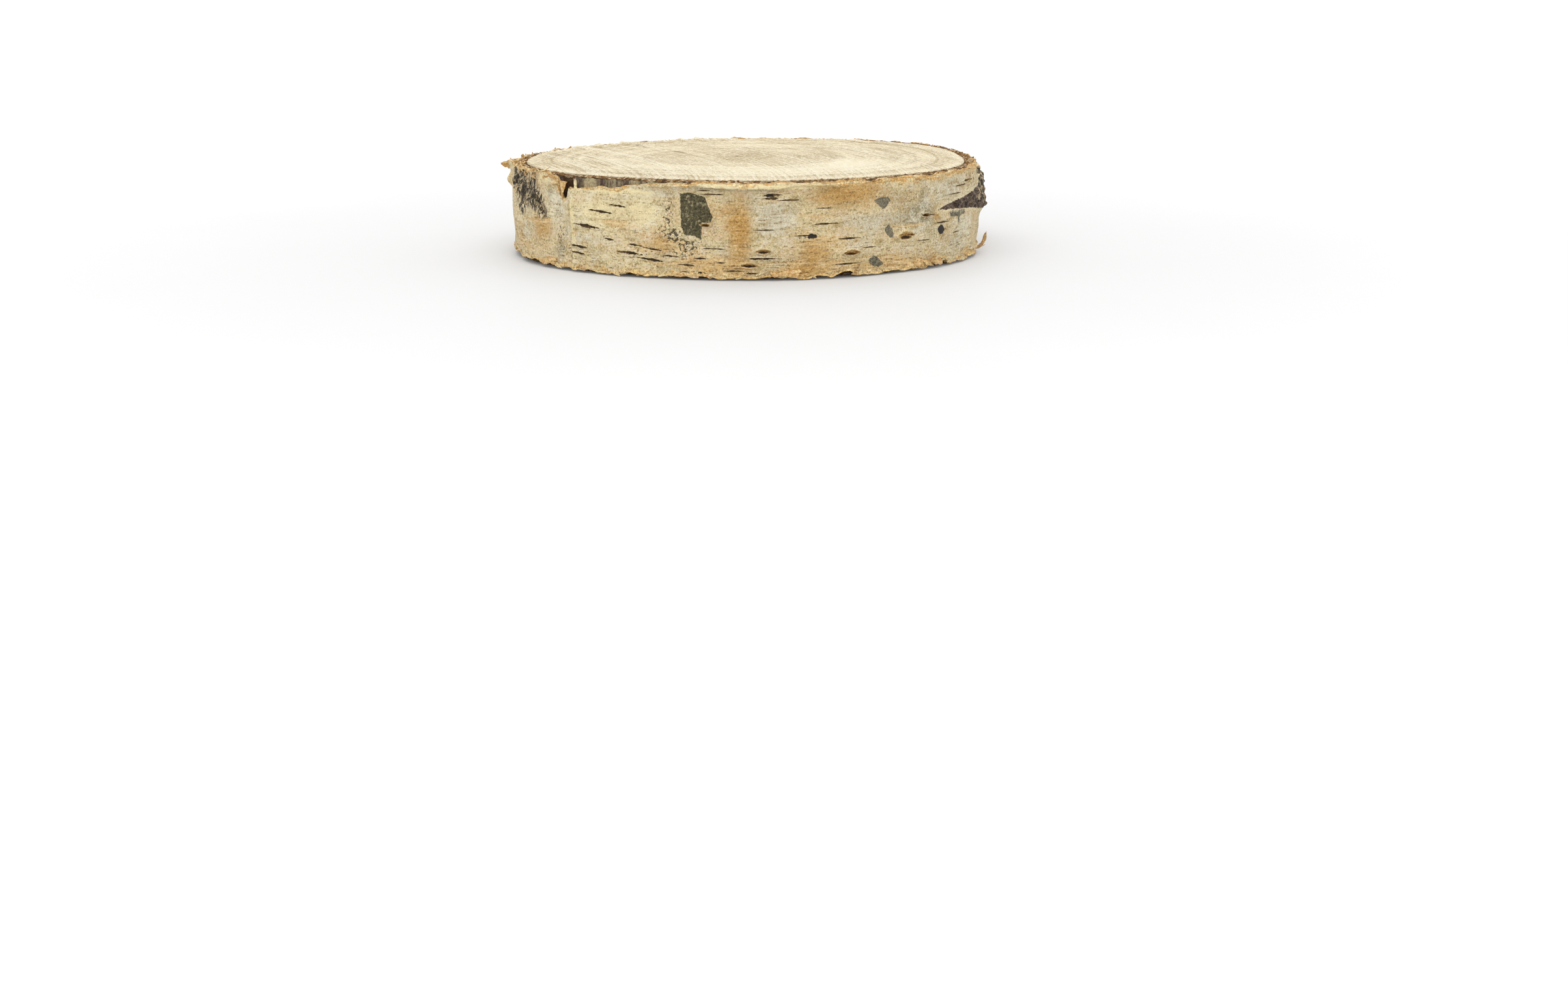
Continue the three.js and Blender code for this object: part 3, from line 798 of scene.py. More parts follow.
def wood_finish(colours):
    """Sawn end grain: rings by their share of the radius, with a fine line for each year, lines, regular
    teeth and threads along the saw marks, pale streaks and flecks where the cut is fresh, dark pores, a dark
    streak, and painted shadows beside the splinters."""
    f = Finish("sawn_wood", colours.wood_dark)
    saw, along, fresh = f.field("saw"), f.field("along"), f.field("fresh")

    def drawn(pull, scale, detail, roughness):
        """Noise along the saw marks, the longer the smaller its pull."""
        return f.noise(scale, detail, roughness, place=f.vector(saw, along * pull))

    lines = drawn(0.02, 1.0, 3.0, 0.6)
    marks = drawn(0.04, 1.1, 5.0, 0.66)
    threads = drawn(0.2, 2.2, 5.0, 0.75)
    flecks = drawn(0.35, 0.9, 4.0, 0.7) + fresh * 0.06
    scores = (drawn(0.012, 0.3, 2.0, 0.5) - NOISE_MIDDLE).line(0.0008) * threads.step(0.4, 0.52) * 0.9
    teeth = (saw * 4.8 + lines.swing(6.0)).wave()
    grain = f.noise(3.6, 5.0, 0.85)
    patches = f.noise(0.08, 4.0, 0.55)

    share = f.field("ring") + f.noise(0.16).swing(0.016)
    stops = [(position, (tone, tone, tone)) for position, tone in RING_TONES]
    rings = f.node("ShaderNodeValToRGB", {"stops": stops}, {"Fac": share}, "Color")
    rings = f.node("ShaderNodeSeparateColor", {}, {"Color": rings}, "Red")
    years = f.noise(46.0, 3.0, 0.6, place=f.vector(share))
    tone = rings * 0.85 + years.swing(0.75) + patches.swing(1.0) + lines.swing(0.9) + teeth * 0.1
    tone = tone + threads.swing(1.3) + grain.swing(3.6) + fresh * 0.45 + 0.04
    f.coat(colours.wood_pale, tone.step(-0.1, 0.9))

    streaks = (marks + threads.swing(0.9) + fresh * 0.1).step(0.56, 0.7)
    streaks = streaks.most(scores).most((f.field("pale") + threads.swing(1.2)).step(0.3, 0.6))
    f.coat(colours.wood_fresh, streaks * grain.step(0.35, 0.55))
    f.coat(paint(255, 250, 236), flecks.step(0.6, 0.68) * threads.step(0.36, 0.56) * 0.85)
    f.coat(colours.wood_dark, (1 - flecks.step(0.34, 0.44)) * 0.4)
    f.coat(colours.pith, (1 - grain.step(0.34, 0.43)) * (1 - fresh * 0.4) * 0.5)
    # A dark streak, and painted shadows beside the splinters.
    f.coat(f.shaded(colours.pith, 0.6 + grain * 0.9), f.field("gash").step(0.1, 1.0) * 0.55)
    f.coat(colours.pith, (1 - share.step(0.004, 0.02)) * 0.6 + (1 - share.step(0.0, 0.09)) * 0.16)
    return f.surface(0.8 - streaks * 0.1, lines * 0.5 + threads * 0.5 + grain * 0.6, 0.0006, 0.2)


def inner_bark_finish(colours):
    """Brown bark of golden lumps with dark seams, some of them pale stony grains; its outer wall has grey
    bands, and its edges are dark. Painted shade darkens it in the hollow of the notch and on the outer wall
    near the foot, behind the outer bark."""
    f = Finish("inner_bark_grain", colours.inner_bark)
    fine = f.noise(2.2, 6.0, 0.82)
    sharp, soft = fine.step(0.35, 0.65), fine.step(0.3, 0.7)
    lump = (f.field("speck") + fine.swing(0.9)).step(0.1, 0.4)
    fleck = f.noise(1.0, 5.0, 0.7, place=f.stretched(1.0, 1.0, 2.0))
    golden = f.shaded(colours.inner_bark, 0.3 + sharp * 0.7 + fleck.step(0.4, 0.6) * 0.6)
    stone = (f.field("stone") + fine.swing(0.3)).step(0.62, 0.7).most(fleck.step(0.6, 0.68) * 0.6)
    f.colour = f.shaded(colours.inner_bark, 0.1 + sharp * 0.5)
    f.coat(f.blend(golden, f.shaded(colours.grain, 0.55 + fine * 0.8), stone), lump)
    f.coat(f.shaded(paint(74, 50, 24), 0.3 + fine * 1.3), (1 - f.field("core").step(0.05, 0.5)) * 0.85)

    bands = f.noise(0.3, 2.0, 0.5, place=f.stretched(1.0, 1.0, 0.1))
    threads = f.noise(1.4, 4.0, 0.7, place=f.stretched(1.0, 1.0, 0.3))
    wall = f.blend(paint(104, 86, 76), paint(214, 198, 156), (bands + threads.swing(0.5)).step(0.38, 0.61))
    f.coat(f.shaded(wall, 0.55 + soft * 0.8), f.field("wall"))
    # Painted shade: the hollow of the notch and the outer wall near the foot.
    f.coat(f.shaded(paint(86, 60, 34), 0.2 + soft * 1.4), f.field("hollow"))
    return f.surface(0.85, lump * 0.3 + fine * 2.0 + threads * f.field("wall"), 0.0005, 0.2)


class Paper(Finish):
    """Papery bark: the noises that its coats share, and a method for each kind of coat."""

    def __init__(self, colours):
        super().__init__("birch_paper", colours.paper)
        self.colours = colours
        self.clouds = self.noise(0.12, 4.0, 0.6)
        self.blotch = self.noise(0.5, 5.0, 0.7)
        self.streaks = self.noise(1.0, 5.0, 0.7, place=self.stretched(0.24, 0.24, 2.2))
        self.hairs = self.noise(1.0, 4.0, 0.65, place=self.stretched(0.4, 0.4, 4.5))
        self.grain = self.noise(2.4, 5.0, 0.82)
        self.threads = (self.noise(0.8, 3.0, 0.6, 2.0) - NOISE_MIDDLE).line(0.0012)
        self.edge = self.noise(1.4, 5.0, 0.7) - NOISE_MIDDLE
        self.drift = self.blotch.swing(0.9) + self.streaks.swing(0.8)
        self.tone = 0.53 + self.streaks.swing(1.35) + self.grain.swing(2.2)
        self.low = self.field("low")

    def weathered(self):
        """Cream worn to grey, with warm, olive and rosy clouds, bloom, olive-grey tints that are partly
        painted shade under the rolled lip and beside the crease, clean cream and orange stains, all broken up
        by one tone of level streaks and grain."""
        blotch, clouds, drift, grain = self.blotch, self.clouds, self.drift, self.grain
        warmth = self.noise(1.0, 4.0, 0.65, place=self.stretched(0.16, 0.16, 0.3))
        mottle = blotch + clouds.swing(0.7) + grain.swing(0.4)
        cream = self.field("cream")
        self.coat(self.colours.worn, (clouds + drift).step(0.35, 0.7))
        self.coat(paint(224, 180, 116), (warmth + drift * 0.5).step(0.46, 0.68) * 0.7)
        self.coat(paint(176, 160, 116), (1 - (warmth + drift * 0.6).step(0.34, 0.5)) * 0.5)
        self.coat(paint(228, 190, 148), (1 - (clouds - drift * 0.7).step(0.34, 0.48)) * 0.5)
        self.coat(self.colours.bloom, (self.field("bloom") * 0.8 + drift).step(0.15, 0.75))
        # Olive-grey tint, partly painted shade under the rolled lip and beside the crease.
        self.coat(self.colours.shade, (self.field("shade") + drift).step(0.2, 0.95) * 0.85)
        self.coat(paint(252, 236, 186), (cream + drift * 0.8).step(0.2, 0.8) * 0.9)
        self.coat(paint(184, 150, 96), (1 - mottle.step(0.3, 0.54)) * 0.6)
        self.coat(paint(255, 246, 218), mottle.step(0.5, 0.72) * 0.6)
        self.colour = self.toned(self.colour, self.tone, paint(140, 110, 64), paint(255, 248, 226))
        self.coat(paint(252, 242, 216), self.threads * blotch.step(0.4, 0.62) * 0.4)
        self.coat(self.shaded(paint(252, 234, 180), 0.7 + grain * 0.6), (cream + drift).step(0.5, 0.9) * 0.7)
        tone = self.tone + self.hairs.swing(0.6)
        stained = self.toned(self.colours.stain, tone, paint(122, 82, 34), paint(246, 214, 148))
        self.coat(stained, (self.field("stain") + drift * 1.3).step(0.12, 0.9) * 0.94)

    def peeled(self):
        """A tan layer where a skin has peeled, hair cracks, pale lips and dark pits. Returns the cracks."""
        tone = self.tone + self.streaks.swing(1.0)
        bared = self.toned(self.colours.layer, tone, paint(128, 86, 40), paint(255, 236, 190))
        self.coat(bared, (self.field("peel") + self.edge * 0.5).step(0.25, 0.4) * 0.65)
        cracked = self.blotch.step(0.42, 0.56)
        cracks = (1 - (self.hairs - self.low * 0.07).step(0.3, 0.37)) * cracked
        self.coat(paint(96, 70, 38), cracks * 0.75)
        self.coat(paint(255, 242, 208), (self.hairs + self.low * 0.06).step(0.62, 0.7) * cracked * 0.7)
        pits = (self.noise(1.9, 4.0, 0.7) + self.field("speckle") * 0.15).step(0.65, 0.69)
        self.coat(self.shaded(paint(52, 43, 28), 0.5 + self.grain), pits * 0.9)
        return cracks

    def darkened(self):
        """Patches of dark grey, ashen on some sides, with pale threads."""
        grain = self.grain
        ashen = self.blend(self.colours.dark, paint(128, 121, 100), self.field("ash"))
        patch = self.shaded(ashen, 0.2 + grain.step(0.36, 0.64) * 0.9 + self.blotch.step(0.35, 0.65) * 0.35)
        patch = self.blend(patch, paint(176, 164, 122), self.threads * grain.step(0.45, 0.6) * 0.55)
        self.coat(patch, (self.field("grey") + self.edge * 0.9).step(-0.04, 0.06))

    def pored(self):
        """Dark lenticels with pale rims, and golden eyes with a dark slit. Returns the lenticels' grooves."""
        grain = self.grain
        uneven = self.noise(0.7, 3.0, 0.6).swing(2.0) + self.edge * 1.5
        lens = self.lens("lenticel") + uneven
        faint = (0.94 - self.field("ash") * 0.25) * (0.55 + self.blotch.step(0.38, 0.5) * 0.45)
        self.coat(paint(250, 230, 180), lens.step(-0.85, -0.35) * 0.4)
        self.coat(self.shaded(paint(146, 110, 62), 0.3 + grain * 1.4), lens.step(-0.1, 0.04) * 0.9)
        black = self.shaded(self.colours.black, 0.35 + grain * 1.2)
        self.coat(black, (lens + grain.swing(1.6)).step(0.06, 0.3) * faint)

        eye = self.lens("eye") + uneven * 0.7
        self.coat(paint(250, 230, 178), eye.step(-0.6, -0.2) * (1 - eye.step(-0.05, 0.1)) * 0.45)
        tone = self.tone + self.streaks.swing(1.5)
        golden = self.toned(paint(206, 160, 92), tone, paint(104, 70, 30), paint(252, 226, 164))
        self.coat(golden, eye.step(-0.08, 0.08))
        slit = self.lens("eye", 0.42, 0.75, 0.34) + uneven * 0.7
        self.coat(self.shaded(paint(104, 74, 38), 0.3 + grain * 1.3), slit.step(-0.4, 0.05) * 0.75)
        self.coat(paint(40, 27, 13), slit.step(0.05, 0.35) * 0.9)
        return lens.step(0.0, 0.4)

    def scarred(self):
        """Black spots, and the scar of a branch: a pale rim round dark healed bark with pale coils."""
        blotch, grain = self.blotch, self.grain
        burnt = (self.field("black") + self.edge * 0.9).step(-0.06, 0.12)
        self.coat(self.shaded(paint(52, 46, 40), 0.3 + grain * 1.3), burnt)
        scar = self.field("scar") + self.edge * 1.1
        self.coat(paint(246, 232, 194), scar.step(-0.9, -0.3) * grain.step(0.4, 0.55) * 0.7)
        tone = 0.5 + blotch.swing(2.4) + grain.swing(2.0)
        healed = self.toned(paint(84, 66, 54), tone, paint(30, 24, 20), paint(150, 124, 112))
        coils = (self.noise(0.9, 3.0, 0.6, 2.6) - NOISE_MIDDLE).line(0.0022)
        coils = coils * (blotch + grain.swing(1.0)).step(0.45, 0.6)
        self.coat(self.blend(healed, paint(196, 178, 144), coils * 0.6), scar.step(-0.06, 0.1))

    def furrowed(self):
        """Old bark: pale leaning ropes, darker inside, with black fissures between them."""
        depth, grain = self.field("old"), self.grain
        slant = self.stretched(1.0, 1.0, 0.11, place=self.sheared(SLANT))
        strands = self.noise(0.8, 4.0, 0.6, 0.1, slant)
        fibres = self.noise(2.6, 4.0, 0.7, 0.1, slant)
        gap = (strands.swing(1.0) + fibres.swing(0.45)) / (1 + depth.step(0.5, 4.0) * 0.9)
        old = depth + strands.swing(8.0) + self.edge * 2.0
        tone = 0.52 + fibres.swing(3.2) + grain.swing(2.4)
        rope = self.toned(paint(208, 184, 144), tone, paint(92, 74, 48), paint(250, 236, 202))
        rope = self.blend(rope, paint(84, 74, 56), depth.step(0.4, 3.0) * fibres.step(0.46, 0.6) * 0.6)
        self.coat(rope, old.step(-0.3, 0.3) * 0.9)
        fissure = gap.line(0.0034, 0.0006) * (old + 0.7).step(-0.1, 0.5)
        self.coat(self.shaded(paint(36, 31, 23), 0.4 + grain * 1.2), fissure * 0.95)

    def torn(self):
        """Tan layers where the paper is torn, with painted light near the foot against the shade by the
        floor.
        """
        torn = self.field("torn")
        layers = self.noise(1.0, place=self.vector(self.field("leaf") * 9.0, self.blotch * 2.0))
        tan = self.blend(self.colours.layer, paint(190, 132, 62), layers.step(0.45, 0.62) * 0.8)
        tan = self.blend(tan, paint(252, 234, 186), self.streaks.step(0.48, 0.6) * 0.8)
        # Painted light: paler near the foot, to lift it from the shade near the floor.
        tan = self.blend(tan, paint(255, 216, 138), self.low * 0.55)
        tan = self.shaded(tan, 0.6 + self.grain.step(0.38, 0.62) * 0.75)
        self.coat(tan, (torn + self.blotch.swing(1.8) * torn).step(0.25, 0.7))


def paper_finish(colours):
    """Papery bark: weathered, peeled, darkened, with pores, scars and old bark, and torn at its edges."""
    f = Paper(colours)
    f.weathered()
    cracks = f.peeled()
    f.darkened()
    grooves = f.pored()
    f.scarred()
    f.furrowed()
    f.torn()
    height = f.streaks * 0.5 + f.grain * 0.9 + f.threads * 0.1 - cracks * 0.3 - grooves * 0.3
    return f.surface(0.64 + f.grain * 0.2, height, 0.0005)


def flake_finish(colours):
    """Loose paper: cream outside, tan inside, browner to its torn edge."""
    f = Finish("loose_paper", colours.layer)
    grain = f.noise(2.4, 5.0, 0.8)
    streaks = f.noise(1.0, 5.0, 0.7, place=f.stretched(0.3, 0.3, 2.4))
    blotch = f.noise(0.5, 5.0, 0.7)
    tint = f.field("tint")
    f.coat(f.blend(colours.paper, colours.layer, tint), f.field("outside"))
    f.coat(paint(196, 138, 66), (tint + blotch.swing(3.0)).step(0.7, 1.2) * 0.7)
    f.coat(paint(150, 102, 50), f.field("tip").step(0.5, 1.1) * streaks.step(0.4, 0.6) * 0.7)
    tone = 0.52 + streaks.swing(1.6) + grain.swing(1.8)
    f.colour = f.toned(f.colour, tone, paint(120, 80, 36), paint(255, 244, 212))
    return f.surface(0.62 + grain * 0.2, streaks + grain, 0.0004)


def fibre_finish(colours):
    """Torn wood fibres: pale wood with fine lines."""
    f = Finish("torn_fibre", colours.wood_pale)
    grain = f.noise(3.4, 4.0, 0.7)
    f.coat(colours.wood_dark, grain.step(0.36, 0.62))
    f.coat(colours.pith, f.field("tip").step(0.6, 1.2) * 0.4)
    return f.surface(0.78, grain, 0.0002, 0.2)


def sawn_grid(trunk, columns, rows):
    """Points of the sawn face as arcs about the saw's centre: the radius of the arc runs over the columns,
    and each arc runs from the clean edge of the wood to the torn one, which the saw has bitten. Returns x, y,
    the arc's radius and the way along it."""
    angle = np.linspace(0, 2 * np.pi, 9000)
    x = trunk.wood(angle) * np.cos(angle) - SAW_CENTRE[0]
    y = trunk.wood(angle) * np.sin(angle) - SAW_CENTRE[1]
    reach, bearing = np.hypot(x, y), np.arctan2(y, x)
    far, near = np.argmax(reach), np.argmin(reach)
    torn = np.arange(far, near) if far < near else np.r_[far : len(angle), :near]
    clean = np.setdiff1d(np.arange(len(angle)), torn)
    margin = 0.04
    arc = np.linspace(reach.min() + margin, reach.max() - margin, columns)
    ends = []
    for chain in (clean, torn):
        order = chain[np.argsort(reach[chain])]
        ends.append(np.interp(arc, reach[order], bearing[order]))
    fine = lattice_noise(arc / 0.55, 0 * arc, SAW_CELLS, seed=31) * 0.32
    broad = lattice_noise(arc / 2.4, 0 * arc, SAW_CELLS, seed=32) * 0.3
    bite = np.clip(0.25 + (fine + broad), 0, TORN_EDGE.depth)
    ends[1] = ends[1] - np.sign(ends[1] - ends[0]) * bite / arc
    share = np.linspace(0, 1, rows)
    turn = ends[0][:, None] + (ends[1] - ends[0])[:, None] * share
    across = arc[:, None] + 0 * turn
    return SAW_CENTRE[0] + across * np.cos(turn), SAW_CENTRE[1] + across * np.sin(turn), across, turn * across


def ring_share(trunk, x, y):
    """The way from the pith to the edge of the wood, from 0 to 1, along the line through each point."""
    angle = np.linspace(-np.pi, np.pi, 4000, endpoint=False)
    edge_x = trunk.wood(angle) * np.cos(angle) - PITH[0]
    edge_y = trunk.wood(angle) * np.sin(angle) - PITH[1]
    bearing, reach = np.arctan2(edge_y, edge_x), np.hypot(edge_x, edge_y)
    order = np.argsort(bearing)
    x, y = x - PITH[0], y - PITH[1]
    return np.hypot(x, y) / np.interp(np.arctan2(y, x), bearing[order], reach[order], period=2 * np.pi)


def saw_relief(across, along, pitch, seed):
    """Height of the saw marks from -1 to 1: noise that is narrow across the marks and long along them."""
    marks = lattice_noise(across / (pitch * 0.45), along / 34, SAW_CELLS, seed)
    fine = lattice_noise(across / (pitch * 0.22), along / 18, SAW_CELLS, seed + 1)
    return 0.7 * marks + 0.3 * fine


class BIRCH_OT_wood_disc(bpy.types.Operator):
    """Wood: both sawn faces as arcs of the saw with their marks, joined by the disc's wall"""

    bl_idname = "birch.wood_disc"
    bl_label = "Wood Disc"

    def execute(self, context):
        sizes = context.scene.birch_sizes
        trunk = Trunk(sizes)
        columns, rows = 420, 110
        x, y, across, along = sawn_grid(trunk, columns, rows)
        ring = ring_share(trunk, x, y)
        depth, pitch = sizes.saw_depth / MM, sizes.saw_pitch / MM
        from_torn = np.abs(along - along[:, -1:])
        crest = np.clip(lattice_noise(across / 1.3, along / 30, SAW_CELLS, seed=15), 0, 1)
        raised = SLIVERS.depth * between(SLIVERS, np.arctan2(y, x)) * np.exp(-from_torn / 5) * crest
        pale, gash = raised, self.streak(GASH, across, along)
        for streak in SPLINTERS + SCORES:
            line = self.streak(streak, across, along)
            pale, raised = np.maximum(pale, line), np.maximum(raised, streak.lift * line)
        # Painted shadow: a darker band beside each splinter.
        for streak in SPLINTERS:
            gash = np.maximum(gash, 0.6 * self.streak(streak, across + 2.2 * streak.wide, along))
        rounding = WOOD_ROUNDING * smooth_step(0.988, 1.0, ring)
        top = trunk.thick + depth * (saw_relief(across, along, pitch, seed=11) - 1) - rounding + raised
        foot = depth * (1 - saw_relief(across, along, pitch, seed=21)) + rounding
        fresh = 0
        for at_x, at_y, half_x, half_y, amount in FRESH:
            fresh = fresh + amount * np.exp(-(((x - at_x) / half_x) ** 2) - ((y - at_y) / half_y) ** 2)
        points = np.stack([np.stack([x, y, top], -1), np.stack([x, y, foot], -1)])
        count = columns * rows
        quads = grid_faces(columns, rows, False, False)
        index = np.arange(count).reshape(columns, rows)
        rim = np.concatenate([index[:, 0], index[-1, 1:], index[-2::-1, -1], index[0, -2:0:-1]])
        wall = np.stack([rim, rim + count, np.roll(rim, -1) + count, np.roll(rim, -1)], -1)
        faces = np.concatenate([quads, quads[:, ::-1] + count, wall])
        fields = {
            "ring": np.stack([ring, ring]),
            "saw": np.stack([across, across + UNDER_ACROSS]),
            "along": np.stack([along, along + UNDER_ALONG]),
            "fresh": np.stack([fresh, 0 * fresh]),
            "pale": np.stack([pale, 0 * pale]),
            "gash": np.stack([gash, 0 * gash]),
        }
        finish = wood_finish(context.scene.birch_colours)
        piece = lay_piece("wood_disc", trunk.in_row(points), faces, fields, finish)
        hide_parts("wood")
        return {"FINISHED"}

    def streak(self, streak, across, along):
        """1 on the arc of the saw through a point, falling over the streak's width and towards its ends."""
        x, y = streak.x - SAW_CENTRE[0], streak.y - SAW_CENTRE[1]
        radius = np.hypot(x, y)
        off = (across - radius) / streak.wide
        run = (along / across - np.arctan2(y, x)) * radius / (streak.long / 2)
        return np.exp(-(off**2)) * np.clip(1 - run**4, 0, 1)


class BIRCH_OT_inner_bark(bpy.types.Operator):
    """Inner bark: a ring with a lumpy sawn face, torn beside the wood, and a banded outer wall"""

    bl_idname = "birch.inner_bark"
    bl_label = "Inner Bark"

    def execute(self, context):
        trunk = Trunk(context.scene.birch_sizes)
        columns, across = 1800, 16
        angle = np.linspace(-np.pi, np.pi, columns, endpoint=False)[:, None]
        share = np.linspace(0, 1, across)[None, :]
        # Rows of the outer wall as shares of its height, closest where the bark's notch and strip bare it.
        rise = np.array([0.997, 0.98, 0.96, 0.94, 0.92, 0.9, 0.87, 0.84, 0.78, 0.6, 0.3, 0.02])[None, :]
        bare, gap = between(STRIP, angle), notch(angle)
        start = trunk.wood(angle) + WOOD_GAP
        stop = trunk.bark(angle) - trunk.paper + 0.35 * bare * (1 - gap) - 0.9 * gap
        turn = angle / (2 * np.pi) + 0.5
        bend = 0.35 * bark_noise(angle, share * 3, cells=300, tall=0.8, octaves=2, seed=45)
        cells = [scattered_cells(turn * 380 + bend, share * 3.2 + bend, 380, seed) for seed in (41, 51)]
        specks = [1 - smooth_step(0.25, 0.62, distance) for distance, _ in cells]
        stones = [value for _, value in cells]
        uneven = 0.18 * bark_noise(angle, share * 3, cells=300, tall=0.8, octaves=3, seed=43)
        lumps = [0.15 * speck + uneven for speck in specks]
        ragged = np.abs(rim_noise(angle, cells=420, octaves=2, seed=44))
        torn = smooth_step(0.3, 0.0, share) * (0.15 + 0.2 * ragged)
        edge = smooth_step(0.9, 1.0, share) * 0.12
        top = trunk.thick - INNER_SUNK + lumps[0] - torn - edge - 1.2 * gap * share
        foot = np.maximum(INNER_SUNK - lumps[1] + torn + edge, INNER_CLEAR)
        threads = bark_noise(angle, rise * 2, cells=520, tall=1.0, octaves=2, seed=61) * 0.12
        wall_out = stop + threads * bare
        wall_up = rise * top[:, -1:] + (1 - rise) * foot[:, -1:]
        face_out = start + (stop - start) * share
        radius = np.concatenate([face_out, wall_out, face_out[:, ::-1]], 1)
        height = np.concatenate([top, wall_up, foot[:, ::-1]], 1)
        points = np.stack([radius * np.cos(angle), radius * np.sin(angle), height], -1)
        core = np.minimum(share / 0.16, (1 - share) / 0.1) + 0 * angle
        core = np.concatenate([core, np.ones(wall_up.shape), core[:, ::-1]], 1)
        wall = np.concatenate([0 * top, 1 + 0 * wall_up, 0 * foot], 1)
        # Painted shade: in the hollow of the notch, and on the outer wall low down behind the outer bark.
        hollow = np.concatenate([share + 0 * top, 1 + 0 * wall_up, 0 * foot], 1)
        hollow = np.maximum(hollow * smooth_step(0.1, 0.6, gap), wall * smooth_step(8, 4, height))
        faces = grid_faces(columns, radius.shape[1], True, True)[:, ::-1]
        speck = np.concatenate([specks[0], 0 * wall_up, specks[1][:, ::-1]], 1)
        stone = np.concatenate([stones[0], 0 * wall_up, stones[1][:, ::-1]], 1)
        core = np.clip(core, 0, 1)
        fields = {"core": core, "wall": wall, "hollow": hollow, "speck": speck, "stone": stone}
        finish = inner_bark_finish(context.scene.birch_colours)
        piece = lay_piece("inner_bark_ring", trunk.in_row(points), faces, fields, finish)
        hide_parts("inner_bark")
        return {"FINISHED"}


